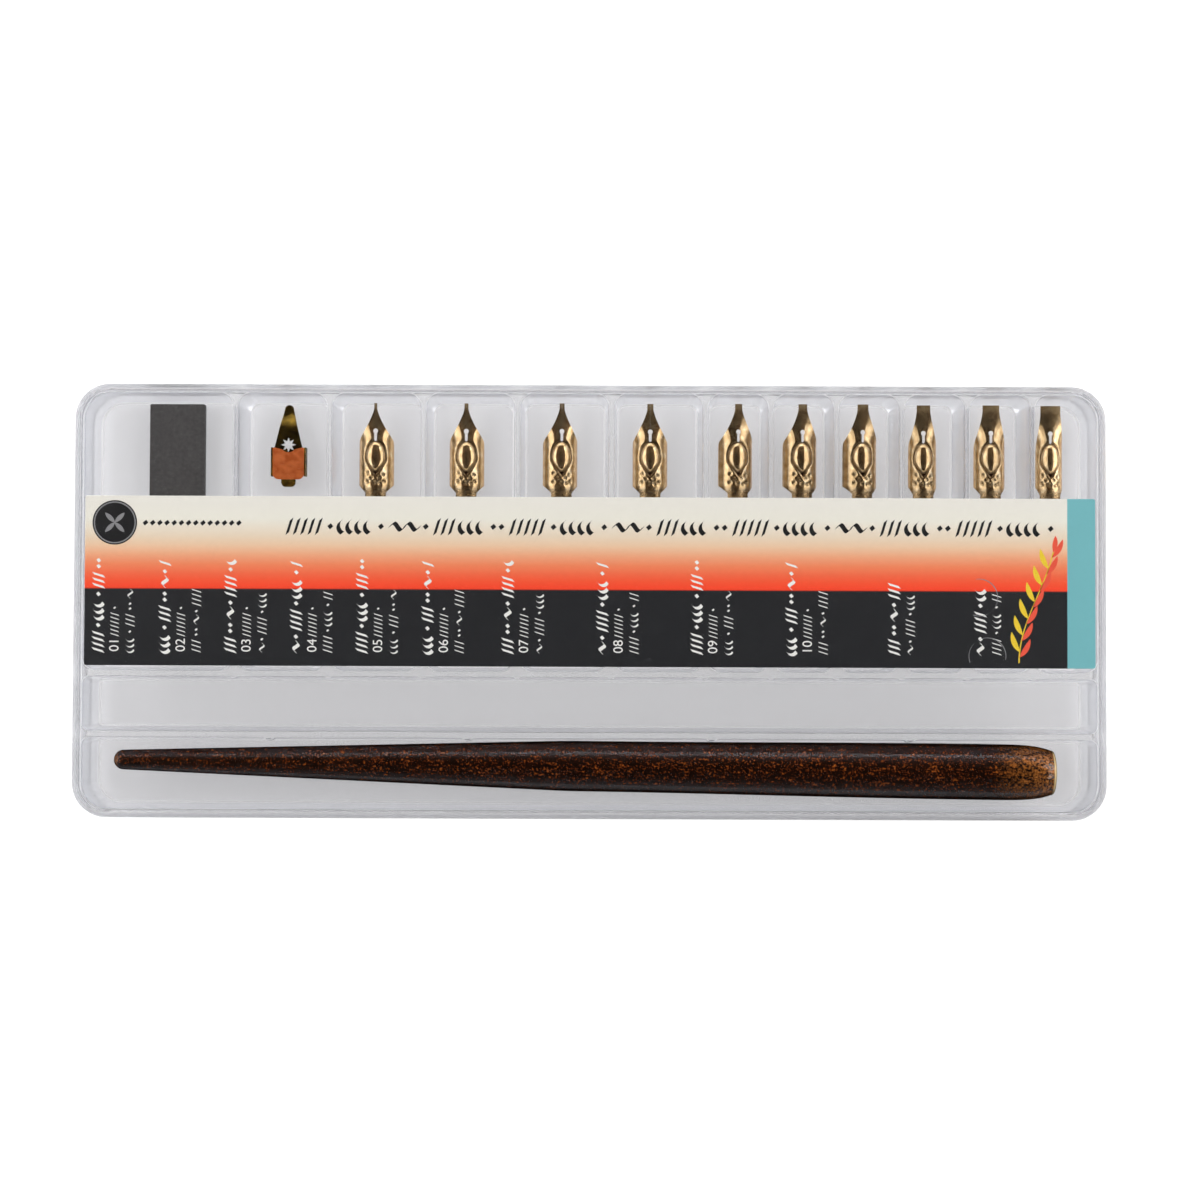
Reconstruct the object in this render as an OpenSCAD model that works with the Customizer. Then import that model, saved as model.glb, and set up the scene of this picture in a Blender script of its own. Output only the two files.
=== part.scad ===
// Calligraphy set box: a flat clear case with a lift-off lid that carries a printed card.
// The tray below has twelve bays for a magnet strip, a slip-on reservoir and ten broad pen
// nibs, an empty middle compartment, and a trough for a turned wooden penholder.
// Millimetres. The origin is in the middle of the underside. +X runs along the case towards
// the widest nib, +Y towards the nib tips, and +Z up through the lid.

/* [Case] */
// Outside length of the closed case
case_len = 190; // [184:1:220]
// Outside depth of the closed case, from the penholder's side to the nib tips' side
case_depth = 80; // [76:1:100]
// Height of the closed case
case_h = 16; // [15:0.5:24]
// Radius of the four upright corners
corner_r = 6.5; // [4.5:0.5:9]
// Rounding along the base's lower edge and the lid's upper edge
edge_r = 1.2; // [0.6:0.1:1.4]
// Thickness of the side walls at the rim
wall = 1.6; // [1.5:0.1:2.2]
// Thickness of the tray's floor
floor_t = 1.2; // [0.8:0.1:2]
// How far the outer walls lean in from the parting line to the base's lower edge
outer_lean = 0.3; // [0.1:0.05:0.6]

/* [Lid and lap joint] */
// Height of the lid's outer side
lid_h = 5; // [4.5:0.1:6]
// Thickness of the lid's top
lid_t = 1.2; // [0.8:0.1:1.6]
// Height of the tray's lip above the parting line
lip_h = 2.4; // [1.5:0.1:3]
// Thickness of the tray's lip
lip_t = 0.65; // [0.5:0.05:0.75]
// Clearance between the tray's lip and the lid's skirt
lap_gap = 0.15; // [0.1:0.05:0.25]
// Parting gap between the lid's skirt and the tray's shoulder
seat_gap = 0.1; // [0.05:0.05:0.3]
// Clearance above the lip, inside the lid
lip_top_gap = 0.3; // [0.1:0.1:0.6]

/* [Bays] */
// Width of the magnet strip's bay, counted in narrow bays
magnet_bay = 2.306; // [1.8:0.001:2.6]
// Width of a wide bay, counted in narrow bays
wide_bay = 1.438; // [1.2:0.001:1.6]
// Width of the last bay, counted in narrow bays
end_bay = 0.976; // [0.84:0.001:1.2]
// Thickness of a divider along its top
divider_t = 1; // [0.8:0.1:1.5]
// Thickness of the two long inner walls along their top
inner_wall_t = 1.2; // [0.8:0.1:2]
// Width of the empty compartment between the nibs and the penholder, at the rim
middle_w = 10; // [6:0.5:14]
// Width of the penholder's trough at the rim
trough_w = 13.2; // [12.6:0.1:16]
// Lean of the moulded walls, so that the tray leaves its mould
draft_angle = 2.5; // [1:0.1:3]
// Corner radius of a bay at the rim
bay_r = 2.4; // [1.8:0.1:3.5]
// Width of the slanted foot where a wall meets the floor
foot_w = 0.3; // [0.1:0.05:0.5]
// Height of the slanted foot
foot_h = 0.7; // [0.3:0.1:1.2]

/* [Retaining nubs] */
// Distance of the two inner nubs from the middle
nub_inner_x = 22.5; // [15:0.5:30]
// Distance of the two outer nubs from the middle
nub_outer_x = 59; // [45:0.5:75]
// Radius of a nub
nub_r = 0.9; // [0.6:0.1:1.1]
// How far a nub stands out into the trough
nub_out = 0.5; // [0.3:0.1:0.8]
// Height of a nub, down from the rim
nub_h = 3; // [1.5:0.5:5]

/* [Card] */
// Depth of the printed card under the lid
card_depth = 31.2; // [20:0.1:40]
// Thickness of the card
card_t = 0.3; // [0.15:0.05:0.4]
// Gap between the card's ends and the lid's inner walls
card_end_gap = 0.9; // [0.2:0.1:2]
// Distance of the card's middle from the case's middle, towards the nib tips
card_shift = 3.6; // [-5:0.1:10]

/* [Nibs] */
// Length of a nib from its tip to the end of its shank
nib_len = 34; // [30:0.5:36]
// Width across a nib's body
nib_w = 6.6; // [5.6:0.1:7]
// Thickness of the nibs' sheet
nib_t = 0.3; // [0.2:0.05:0.4]
// Length of the straight part behind the writing edge
tip_run = 1; // [0.5:0.1:2]
// Distance from the writing edge to the full width of the body
shoulder_at = 6.5; // [5.5:0.1:7]
// Distance from the writing edge to where the body starts to narrow
waist_at = 15.6; // [15:0.1:18]
// Length of the taper between the body and the shank
neck_run = 1.1; // [1:0.1:3]
// Width across a nib's shank
shank_w = 3.9; // [3.6:0.1:4.6]
// How much wider the half-round bend of the body is than the body
bend_over = 0.1; // [0.05:0.05:0.4]
// Radius across the flattened writing edge
tip_bend_r = 6; // [5:0.5:12]
// How far the writing edge dips below the nib's back
tip_dip = 0.4; // [0:0.1:0.8]
// Width of the pierced vent
vent_w = 0.95; // [0.6:0.05:1.2]
// Width of the vent's narrow stem
vent_stem_w = 0.55; // [0.3:0.05:0.6]
// Distance from the writing edge to the middle of the vent
vent_at = 5.3; // [4.8:0.1:5.6]
// Length of the vent's stem
vent_stem = 1.9; // [1:0.1:2]
// Distance from the writing edge to the middle of the raised oval
oval_at = 10.2; // [10.2:0.1:12]
// Length of the raised oval
oval_len = 5.2; // [4:0.1:6.2]
// Width of the raised oval, along the bend
oval_w = 4.2; // [3:0.1:5]
// Height of the raised oval
oval_h = 0.4; // [0.2:0.05:0.6]
// Gap between the writing edges and the tray's end wall
tip_gap = 0.3; // [0.2:0.1:2]
// Gap kept beside and under loose pieces in their bays
loose_gap = 0.1; // [0.05:0.05:0.2]

/* [Magnet strip and reservoir] */
// Gap between the magnet strip and the front of its bay
magnet_front_gap = 4.4; // [2:0.1:15]
// Width of the magnet strip
magnet_w = 10.4; // [6:0.1:12]
// Thickness of the magnet strip
magnet_t = 1.6; // [1:0.1:3]
// Length of the reservoir's tongue
tongue_len = 8.4; // [6:0.1:10]
// Width of the tongue where it leaves the plate
tongue_w = 5.1; // [4:0.1:6]
// Width of the tongue's rounded end
tongue_end_w = 1.7; // [1:0.1:2.5]
// Length of the reservoir's plate
plate_len = 6.3; // [5:0.1:8]
// Width of the reservoir's plate
plate_w = 6.6; // [6.2:0.1:9]
// Length of the lug behind the plate
lug_len = 1.4; // [0.8:0.1:2]
// Width of the lug
lug_w = 2.7; // [1.5:0.1:4]
// Height of the folded ears that the plate stands on
ear_h = 1.6; // [1:0.1:3]
// Thickness of the reservoir's sheet
reservoir_t = 0.25; // [0.2:0.05:0.4]
// Distance from the middle of the star hole to one of its points
star_r = 1.45; // [0.8:0.05:1.5]

/* [Penholder] */
// Gap between the penholder's mouth and the trough's end wall, at the rim
mouth_gap = 6.8; // [3:0.1:9]
// Radius of the tail's rounded end
tail_r = 1.85; // [1.2:0.05:2.2]
// Distance from the tail to where the straight taper ends
taper_len = 85; // [70:1:100]
// Radius where the straight taper ends
taper_end_r = 4.7; // [4.2:0.1:4.8]
// Distance from the mouth back to the thickest place
belly_back = 14.4; // [10:0.1:30]
// Radius at the thickest place
belly_r = 5.2; // [4.9:0.05:5.3]
// Radius at the mouth
mouth_r = 3.95; // [3.95:0.05:4.4]
// Rounding of the mouth's rim
mouth_round = 0.5; // [0.3:0.1:0.5]
// Angle of the penholder across the trough
pen_yaw = 0.6; // [0:0.1:0.8]
// How far the penholder lies off the middle of the trough, towards the nibs
pen_shift = 0.5; // [0:0.1:0.6]
// Gap between the penholder's tail and the trough's end wall, at the rim
pen_end_gap = 4.4; // [3:0.1:6]
// Gap under the penholder
pen_gap = 0.3; // [0.2:0.05:0.5]

/* [Ferrule] */
// Radius of the bore in the penholder's mouth
bore_r = 3.3; // [3.1:0.05:3.4]
// Depth of the bore
bore_len = 19; // [16:0.5:26]
// Thickness of the ferrule's sleeve
sleeve_t = 0.3; // [0.2:0.05:0.4]
// Running gap round the sleeve, and round the claws' disc
sleeve_fit = 0.04; // [0.02:0.01:0.08]
// How far the sleeve lies back from the mouth
sleeve_recess = 0.5; // [0.2:0.1:2]
// Thickness of the claws' sheet
claw_t = 0.35; // [0.2:0.05:0.5]
// Room between the sleeve and the claws, for a nib's shank
shank_gap = 0.5; // [0.35:0.05:0.7]
// Width of the slots between the claws
claw_slot = 1; // [0.5:0.1:1.6]
// Thickness of the disc that joins the claws
claw_disc_t = 1.2; // [0.8:0.1:2]
// How far the claws lie back from the sleeve's mouth
claw_recess = 1; // [0.5:0.1:3]

/* [Hidden] */

// Nibs from left to right: node, width of the writing edge, how far the nib lies to one side of
// its bay, from -1 against the left divider to 1 against the right one, and how wide its body is
// as a share of nib_w
NIBS = [
    ["nib_6", 0.55, -0.28, 1],
    ["nib_5", 0.75, -0.34, 1],
    ["nib_4", 0.95, -0.16, 1],
    ["nib_3_half", 1.15, -0.34, 1],
    ["nib_3", 1.35, 0.45, 1],
    ["nib_2_half", 1.65, 0.48, 1],
    ["nib_2", 2.05, -0.08, 1],
    ["nib_1_half", 2.55, -0.48, 0.81],
    ["nib_1", 3.15, 0, 0.9],
    ["nib_0", 3.75, -0.61, 0.77]
];
magnet_side = 0.2;
reservoir_side = -0.13;
wide_bays = 5;
narrow_bays = 5;
first_nib_bay = 2;

cut = 0.5;
arc_steps = 5;
across_steps = 8;

parting_z = case_h - lid_h;
lip_top = parting_z + lip_h;
lid_under = case_h - lid_t;
inner_len = case_len - 2*wall;
inner_depth = case_depth - 2*wall;
rim_corner_r = corner_r - wall;

trough_y = [-inner_depth/2, -inner_depth/2 + trough_w];
middle_y = [trough_y[1] + inner_wall_t, trough_y[1] + inner_wall_t + middle_w];
bays_y = [middle_y[1] + inner_wall_t, inner_depth/2];

// The bays share the inner length, so they stay in proportion when the case grows
narrow_pitch = inner_len/(magnet_bay + wide_bays*wide_bay + narrow_bays + end_bay);
wide_pitch = wide_bay*narrow_pitch;
first_wide_x = -inner_len/2 + magnet_bay*narrow_pitch;
first_narrow_x = first_wide_x + wide_bays*wide_pitch;
divider_x = concat(
    [for (i = [0:wide_bays - 1]) first_wide_x + i*wide_pitch],
    [for (i = [0:narrow_bays]) first_narrow_x + i*narrow_pitch]
);
bay_count = len(divider_x) + 1;

pen_len = inner_len - pen_end_gap - mouth_gap;
belly_at = pen_len - belly_back;

clear = "#d5d8dc";
bronze = "#a08045";
brass = "#8f7a3a";
copper = "#b0603c";

// Left and right edges of a bay at the rim
function bay_left(i) = i == 0 ? -inner_len/2 : divider_x[i - 1] + divider_t/2;
function bay_right(i) = i == bay_count - 1 ? inner_len/2 : divider_x[i] - divider_t/2;

// How far a moulded wall has leant in from the rim at height z
function lean_at(z) = (lip_top - z)*tan(draft_angle) + (z <= floor_t ? foot_w : 0);

// Middle of a loose piece of width w in bay i, pushed to one side by the share given
function rest_x(i, w, side) =
    (bay_left(i) + bay_right(i))/2
    + side*((bay_right(i) - bay_left(i))/2 - lean_at(floor_t) - w/2 - loose_gap);

// A quarter of a circle, counter-clockwise from angle a
function quarter(cx, cy, r, a, steps) =
    [for (i = [0:steps]) [cx + r*cos(a + 90*i/steps), cy + r*sin(a + 90*i/steps)]];

// One level of a hollow: its rim rectangle, with corner radii r, drawn in by an inset
function ring(x, y, r, inset, z) = [
    for (p = concat(
        quarter(x[0] + r[0], y[0] + r[0], r[0] - inset, 180, arc_steps),
        quarter(x[1] - r[1], y[0] + r[1], r[1] - inset, 270, arc_steps),
        quarter(x[1] - r[2], y[1] - r[2], r[2] - inset, 0, arc_steps),
        quarter(x[0] + r[3], y[1] - r[3], r[3] - inset, 90, arc_steps)
    )) [p[0], p[1], z]
];

module four_corners(len, depth, r) {
    for (sx = [-1, 1], sy = [-1, 1])
        translate([sx*(len/2 - r), sy*(depth/2 - r), 0])
            children();
}

module rounded_rect(len, depth, r) {
    square([len - 2*r, depth], center = true);
    square([len, depth - 2*r], center = true);
    four_corners(len, depth, r) circle(r, $fn = 48);
}

// The case's outer form: a corner post's profile, repeated and skinned over
module case_form(profile) {
    hull()
        four_corners(case_len, case_depth, corner_r)
            rotate_extrude($fn = 32) polygon(profile);
}

// A moulded hollow that leans in towards the floor and has a slanted foot.
// r holds the corner radii at the rim, from the low x and y corner counter-clockwise.
module hollow(x, y, r) {
    foot_z = floor_t + foot_h;
    over_z = lip_top + cut;
    levels = [
        ring(x, y, r, lean_at(floor_t), floor_t),
        ring(x, y, r, lean_at(foot_z), foot_z),
        ring(x, y, r, lean_at(over_z), over_z)
    ];
    n = len(levels[0]);
    polyhedron(
        points = [for (level = levels) each level],
        faces = concat(
            [[for (i = [0:n - 1]) i]],
            [for (k = [0, 1], i = [0:n - 1])
                [k*n + i, (k + 1)*n + i, (k + 1)*n + (i + 1)%n, k*n + (i + 1)%n]],
            [[for (i = [0:n - 1]) 3*n - 1 - i]]
        )
    );
}

module base_tray() {
    foot_r = corner_r - outer_lean;
    lip_inset = wall - lip_t;
    outer_profile = concat(
        [[0, 0]],
        quarter(foot_r - edge_r, edge_r, edge_r, 270, 4),
        [[corner_r, parting_z], [0, parting_z]]
    );
    color(clear) {
        difference() {
            union() {
                case_form(outer_profile);
                translate([0, 0, parting_z - cut])
                    linear_extrude(lip_h + cut)
                        rounded_rect(case_len - 2*lip_inset, case_depth - 2*lip_inset,
                            corner_r - lip_inset);
            }
            for (i = [0:bay_count - 1])
                hollow([bay_left(i), bay_right(i)], bays_y, [
                    bay_r,
                    bay_r,
                    i == bay_count - 1 ? rim_corner_r : bay_r,
                    i == 0 ? rim_corner_r : bay_r
                ]);
            hollow([-inner_len/2, inner_len/2], middle_y, [bay_r, bay_r, bay_r, bay_r]);
            hollow([-inner_len/2, inner_len/2], trough_y,
                [rim_corner_r, rim_corner_r, bay_r, bay_r]);
        }
        for (x = [-nub_outer_x, -nub_inner_x, nub_inner_x, nub_outer_x])
            translate([x, trough_y[1] + nub_r - nub_out, lip_top - nub_h])
                cylinder(h = nub_h, r = nub_r, $fn = 32);
    }
}

module lid() {
    skirt_z = parting_z + seat_gap;
    top_r = corner_r - outer_lean/2;
    lap_inset = wall - lip_t - lap_gap;
    outer_profile = concat(
        [[0, skirt_z], [corner_r, skirt_z]],
        quarter(top_r - edge_r, case_h - edge_r, edge_r, 0, 4),
        [[0, case_h]]
    );
    color(clear)
        difference() {
            case_form(outer_profile);
            translate([0, 0, skirt_z - cut])
                linear_extrude(lid_under - skirt_z + cut)
                    rounded_rect(inner_len, inner_depth, rim_corner_r);
            translate([0, 0, skirt_z - cut])
                linear_extrude(lip_top + lip_top_gap - skirt_z + cut)
                    rounded_rect(case_len - 2*lap_inset, case_depth - 2*lap_inset,
                        corner_r - lap_inset);
        }
}

module label_card() {
    color("#f1ead9")
        translate([0, card_shift, lid_under - card_t/2])
            cube([inner_len - 2*card_end_gap, card_depth, card_t], center = true);
}

module magnet_strip() {
    rear_y = bays_y[1] - lean_at(floor_t) - loose_gap;
    front_y = bays_y[0] + lean_at(floor_t) + magnet_front_gap;
    magnet_len = rear_y - front_y;
    color("#3b3a3c")
        translate([rest_x(0, magnet_w, magnet_side) - magnet_w/2, front_y, floor_t])
            cube([magnet_w, magnet_len, magnet_t]);
}

// Plan of the reservoir's sheet, with the end of the tongue at the origin, pointing +Y
module reservoir_plan() {
    plate_y = -tongue_len;
    hull() {
        translate([0, -tongue_end_w/2]) circle(d = tongue_end_w, $fn = 32);
        translate([0, plate_y]) square([tongue_w, 0.4], center = true);
    }
    translate([-plate_w/2, plate_y - plate_len]) square([plate_w, plate_len]);
    translate([-lug_w/2, plate_y - plate_len - lug_len]) square([lug_w, lug_len + cut]);
}

// Side view of the same sheet: a level plate, a bent tongue and a lug that turns down
module reservoir_side_view() {
    plate_z = ear_h - reservoir_t;
    bend_y = -0.5*tongue_len;
    bend_z = 0.55*plate_z;
    rear_y = -tongue_len - plate_len;
    path = [
        [cut, 0.3*plate_z],
        [bend_y, bend_z],
        [-tongue_len, plate_z],
        [rear_y, plate_z],
        [rear_y - lug_len, 0.6*plate_z]
    ];
    polygon(concat(
        path,
        [for (i = [len(path) - 1:-1:0]) path[i] + [0, reservoir_t]]
    ));
}

module reservoir() {
    x = rest_x(1, plate_w, reservoir_side);
    tip_y = bays_y[1] - lean_at(floor_t) - loose_gap;
    color(copper)
        translate([x, tip_y, floor_t]) {
            difference() {
                intersection() {
                    linear_extrude(ear_h) reservoir_plan();
                    rotate([90, 0, 90])
                        translate([0, 0, -plate_w/2])
                            linear_extrude(plate_w) reservoir_side_view();
                }
                translate([0, -tongue_len + 0.2*star_r, -cut])
                    linear_extrude(ear_h + 2*cut)
                        polygon([for (i = [0:15])
                            (i%2 == 0 ? star_r : 0.5*star_r)*[sin(22.5*i), cos(22.5*i)]]);
            }
            for (side = [0, 1])
                mirror([side, 0, 0])
                    translate([plate_w/2 - reservoir_t, -tongue_len - plate_len, 0])
                        cube([reservoir_t, 0.85*plate_len, ear_h]);
        }
}

// Half the width of a nib with a body of width w, at a distance s behind the writing edge
function nib_half_w(s, tip_w, w) =
    s <= tip_run ? tip_w/2 :
    s <= shoulder_at ?
        tip_w/2 + (w - tip_w)/2*pow((s - tip_run)/(shoulder_at - tip_run), 1.5) :
    s <= waist_at ? w/2 :
    s <= waist_at + neck_run ? w/2 - (w - shank_w)/2*(s - waist_at)/neck_run :
    shank_w/2;

// Radius that a body of width w is bent to
function body_bend_r(w) = w/2 + bend_over/2;

// Radius that the sheet is bent to at s: flat at the tip, nearly half-round in the body
function nib_bend_r(s, w) =
    let (body_r = body_bend_r(w))
    s <= shoulder_at ? tip_bend_r + (body_r - tip_bend_r)*s/shoulder_at :
    s <= waist_at ? body_r :
    s <= waist_at + neck_run ? body_r + (shank_bend_r - body_r)*(s - waist_at)/neck_run :
    shank_bend_r;

// Height of the raised oval at s and at the angle a round a bend of radius r
function oval_rise(s, a, r) =
    let (u = 2*(s - oval_at)/oval_len, v = 2*r*a*PI/180/oval_w)
    oval_h*sqrt(max(0, 1 - u*u - v*v));

sleeve_r = bore_r - sleeve_fit;
claw_r = sleeve_r - sleeve_t - shank_gap;
shank_bend_r = sleeve_r - sleeve_t;
nib_stations = concat(
    [for (i = [0:5]) shoulder_at*i/6],
    [shoulder_at],
    [for (i = [-1:1]) oval_at + i*oval_len/3],
    [waist_at - 1, waist_at, waist_at + neck_run/2, waist_at + neck_run],
    [(waist_at + neck_run + nib_len)/2, nib_len]
);

// One side of the nib's sheet as rows of points: depth is 0 outside and nib_t inside
function nib_rows(tip_w, w, depth) = [
    for (s = nib_stations)
        let (
            r = nib_bend_r(s, w),
            edge_a = asin(nib_half_w(s, tip_w, w)/r),
            dip = tip_dip*pow(max(0, 1 - s/shoulder_at), 2)
        )
        for (k = [0:across_steps])
            let (a = edge_a*(2*k/across_steps - 1), rho = r - depth + oval_rise(s, a, r))
            [rho*sin(a), -s, rho*cos(a) - r - dip]
];

// A broad pen nib with its writing edge at y = 0 and the top of its back at z = 0
module nib(tip_w, w) {
    rows = len(nib_stations);
    cols = across_steps + 1;
    inside = rows*cols;
    quads = concat(
        [for (j = [0:rows - 2], k = [0:cols - 2])
            [j*cols + k, j*cols + k + 1, (j + 1)*cols + k + 1, (j + 1)*cols + k]],
        [for (j = [0:rows - 2], k = [0:cols - 2])
            [inside + j*cols + k, inside + (j + 1)*cols + k,
             inside + (j + 1)*cols + k + 1, inside + j*cols + k + 1]],
        [for (j = [0:rows - 2])
            [j*cols, (j + 1)*cols, inside + (j + 1)*cols, inside + j*cols]],
        [for (j = [0:rows - 2])
            [j*cols + cols - 1, inside + j*cols + cols - 1,
             inside + (j + 1)*cols + cols - 1, (j + 1)*cols + cols - 1]],
        [for (k = [0:cols - 2]) [k, inside + k, inside + k + 1, k + 1]],
        [for (k = [0:cols - 2])
            [(rows - 1)*cols + k, (rows - 1)*cols + k + 1,
             inside + (rows - 1)*cols + k + 1, inside + (rows - 1)*cols + k]]
    );
    difference() {
        polyhedron(
            points = concat(nib_rows(tip_w, w, 0), nib_rows(tip_w, w, nib_t)),
            faces = [for (q = quads, t = [[0, 1, 2], [0, 2, 3]]) [q[t[0]], q[t[1]], q[t[2]]]]
        );
        translate([0, -vent_at, -nib_w/4])
            linear_extrude(nib_w/2) {
                circle(d = vent_w, $fn = 24);
                translate([-vent_stem_w/2, -vent_stem]) square([vent_stem_w, vent_stem]);
            }
    }
}

// Nib i in its bay, standing on the two long edges of its body
module placed_nib(i) {
    w = NIBS[i][3]*nib_w;
    body_r = body_bend_r(w);
    back_z = floor_t + body_r - (body_r - nib_t)*cos(asin(w/2/body_r));
    color(bronze)
        translate([
            rest_x(first_nib_bay + i, nib_w, NIBS[i][2]),
            bays_y[1] - lean_at(back_z) - tip_gap,
            back_z
        ])
            nib(NIBS[i][1], w);
}

// Places a piece that is turned about Z, with its tail end at the origin, in the trough.
// The penholder lies on its belly and on the end of its straight taper, with the tail raised.
module in_trough() {
    pitch = asin((belly_r - taper_end_r)/(belly_at - taper_len));
    middle = (trough_y[0] + trough_y[1])/2;
    translate([
        -inner_len/2 + pen_end_gap,
        middle + pen_shift + belly_at*sin(pen_yaw),
        floor_t + pen_gap + belly_r - belly_at*sin(pitch)
    ])
        rotate([0, 90 - pitch, -pen_yaw]) children();
}

// Radius of the shaft between the end of its straight taper and its mouth
function shaft_r(z) =
    z <= belly_at ?
        taper_end_r + (belly_r - taper_end_r)*(1 - cos(180*(z - taper_len)/(belly_at - taper_len)))/2 :
        belly_r - (belly_r - mouth_r)*pow((z - belly_at)/(pen_len - belly_at), 4);

module penholder_shaft() {
    curve_steps = 8;
    mouth_z = pen_len - mouth_round;
    profile = concat(
        quarter(0, tail_r, tail_r, 270, 6),
        [for (i = [0:curve_steps - 1])
            let (z = taper_len + (belly_at - taper_len)*i/curve_steps) [shaft_r(z), z]],
        [for (i = [0:curve_steps])
            let (z = belly_at + (mouth_z - belly_at)*i/curve_steps) [shaft_r(z), z]],
        [for (i = [1:4])
            [shaft_r(mouth_z) - mouth_round*(1 - cos(22.5*i)), mouth_z + mouth_round*sin(22.5*i)]],
        [[0, pen_len]]
    );
    color("#4a2813")
        in_trough()
            difference() {
                rotate_extrude($fn = 64) polygon(profile);
                translate([0, 0, pen_len - bore_len])
                    cylinder(h = bore_len + cut, r = bore_r, $fn = 48);
            }
}

module ferrule_sleeve() {
    sleeve_len = bore_len - sleeve_recess;
    color("#c9a961")
        in_trough()
            translate([0, 0, pen_len - bore_len])
                difference() {
                    cylinder(h = sleeve_len, r = sleeve_r, $fn = 48);
                    translate([0, 0, -cut])
                        cylinder(h = sleeve_len + 2*cut, r = sleeve_r - sleeve_t, $fn = 48);
                }
}

module ferrule_claws() {
    claw_len = bore_len - sleeve_recess - claw_recess;
    color("silver")
        in_trough()
            translate([0, 0, pen_len - bore_len]) {
                cylinder(h = claw_disc_t, r = sleeve_r - sleeve_t - sleeve_fit, $fn = 48);
                difference() {
                    cylinder(h = claw_len, r = claw_r, $fn = 48);
                    translate([0, 0, claw_disc_t])
                        cylinder(h = claw_len, r = claw_r - claw_t, $fn = 48);
                    for (turn = [0, 90])
                        rotate([0, 0, turn])
                            translate([-claw_r - cut, -claw_slot/2, 2*claw_disc_t])
                                cube([2*claw_r + 2*cut, claw_slot, claw_len]);
                }
            }
}

base_tray();
lid();
label_card();
magnet_strip();
reservoir();
for (i = [0:len(NIBS) - 1])
    placed_nib(i);
penholder_shaft();
ferrule_sleeve();
ferrule_claws();
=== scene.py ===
"""Calligraphy set box: a clear case of broad pen nibs, seen from above through its lid.

Lengths are in millimetres up to finish_piece, which turns each mesh to metres.
"""

import itertools
import math

import bmesh
import bpy
from mathutils import Matrix, Vector


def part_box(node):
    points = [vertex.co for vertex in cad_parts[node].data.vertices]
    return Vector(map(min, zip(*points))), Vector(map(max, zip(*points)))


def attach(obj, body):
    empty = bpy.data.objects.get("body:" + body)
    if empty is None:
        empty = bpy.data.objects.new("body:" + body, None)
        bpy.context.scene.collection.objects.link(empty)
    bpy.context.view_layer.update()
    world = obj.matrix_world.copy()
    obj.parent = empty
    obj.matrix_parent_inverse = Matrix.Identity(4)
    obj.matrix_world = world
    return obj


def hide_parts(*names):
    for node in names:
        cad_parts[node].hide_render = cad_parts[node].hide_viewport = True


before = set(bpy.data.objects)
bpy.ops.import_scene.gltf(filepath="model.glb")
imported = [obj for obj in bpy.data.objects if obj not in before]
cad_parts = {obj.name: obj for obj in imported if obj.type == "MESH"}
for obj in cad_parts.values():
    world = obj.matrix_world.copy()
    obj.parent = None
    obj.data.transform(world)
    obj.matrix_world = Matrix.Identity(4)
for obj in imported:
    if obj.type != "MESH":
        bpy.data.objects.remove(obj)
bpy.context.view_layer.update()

MM = 0.001


def corners(node):
    """Lowest and highest corner of a CAD node, in millimetres."""
    low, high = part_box(node)
    return low / MM, high / MM


# Case: its outside comes from the CAD part, and the walls repeat the part's own sizes
TRAY_HIGH = corners("base_tray")[1]
LID_LOW, LID_HIGH = corners("lid")
HALF_LEN = TRAY_HIGH.x
HALF_DEPTH = TRAY_HIGH.y
LIP_TOP = TRAY_HIGH.z
CASE_TOP = LID_HIGH.z
FLOOR_Z = corners("nib_0")[0].z
CORNER_R = 6.5
WALL = 1.6
EDGE_R = 1.2
OUTER_LEAN = 0.3
LIP_INSET = 0.95
PARTING_Z = 11.0
LID_TOP_T = 1.2
LAP_INSET = 0.8
LIP_ROOM = 0.3
LEDGE_AIR = 0.06
DRAFT = math.radians(2.5)
CORNER_STEPS = 9
RIM_ROUND = 0.22
FOOT_ROUND = 0.5
LIP_ROUND = 0.15
STEP_ROUND = 0.12
INNER_X = HALF_LEN - WALL
INNER_Y = HALF_DEPTH - WALL

# Where the path of a piece's outline begins and ends on a flat face, inside the outline
INWARD = 9.0

# Bays: widths are counted in narrow bays
DIVIDER = 1.0
INNER_WALL = 1.2
TROUGH_W = 13.2
MIDDLE_W = 10.0
BAY_R = 2.4
SQUARE_R = 1.4
RIM_CORNER_R = 4.9
BAY_WIDTHS = [2.306] + [1.438] * 5 + [1.0] * 5 + [0.976]
TROUGH_Y = (-INNER_Y, -INNER_Y + TROUGH_W)
MIDDLE_Y = (TROUGH_Y[1] + INNER_WALL, TROUGH_Y[1] + INNER_WALL + MIDDLE_W)
BAYS_Y = (MIDDLE_Y[1] + INNER_WALL, INNER_Y)

# Round marks where the dividers end in the middle compartment's wall
MARK_OUT = 0.22
MARK_HALF = 0.6

# Retaining nubs on the trough's inner wall
NUBS_X = (59.0, 22.5, -22.5, -59.0)
NUB_OUT = 0.5
NUB_HALF = 1.0
NUB_SKIRT = 2.4
NUB_H = 3.0
NUB_FADE = 0.8
NUB_FOOT = LIP_TOP - NUB_H

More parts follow.
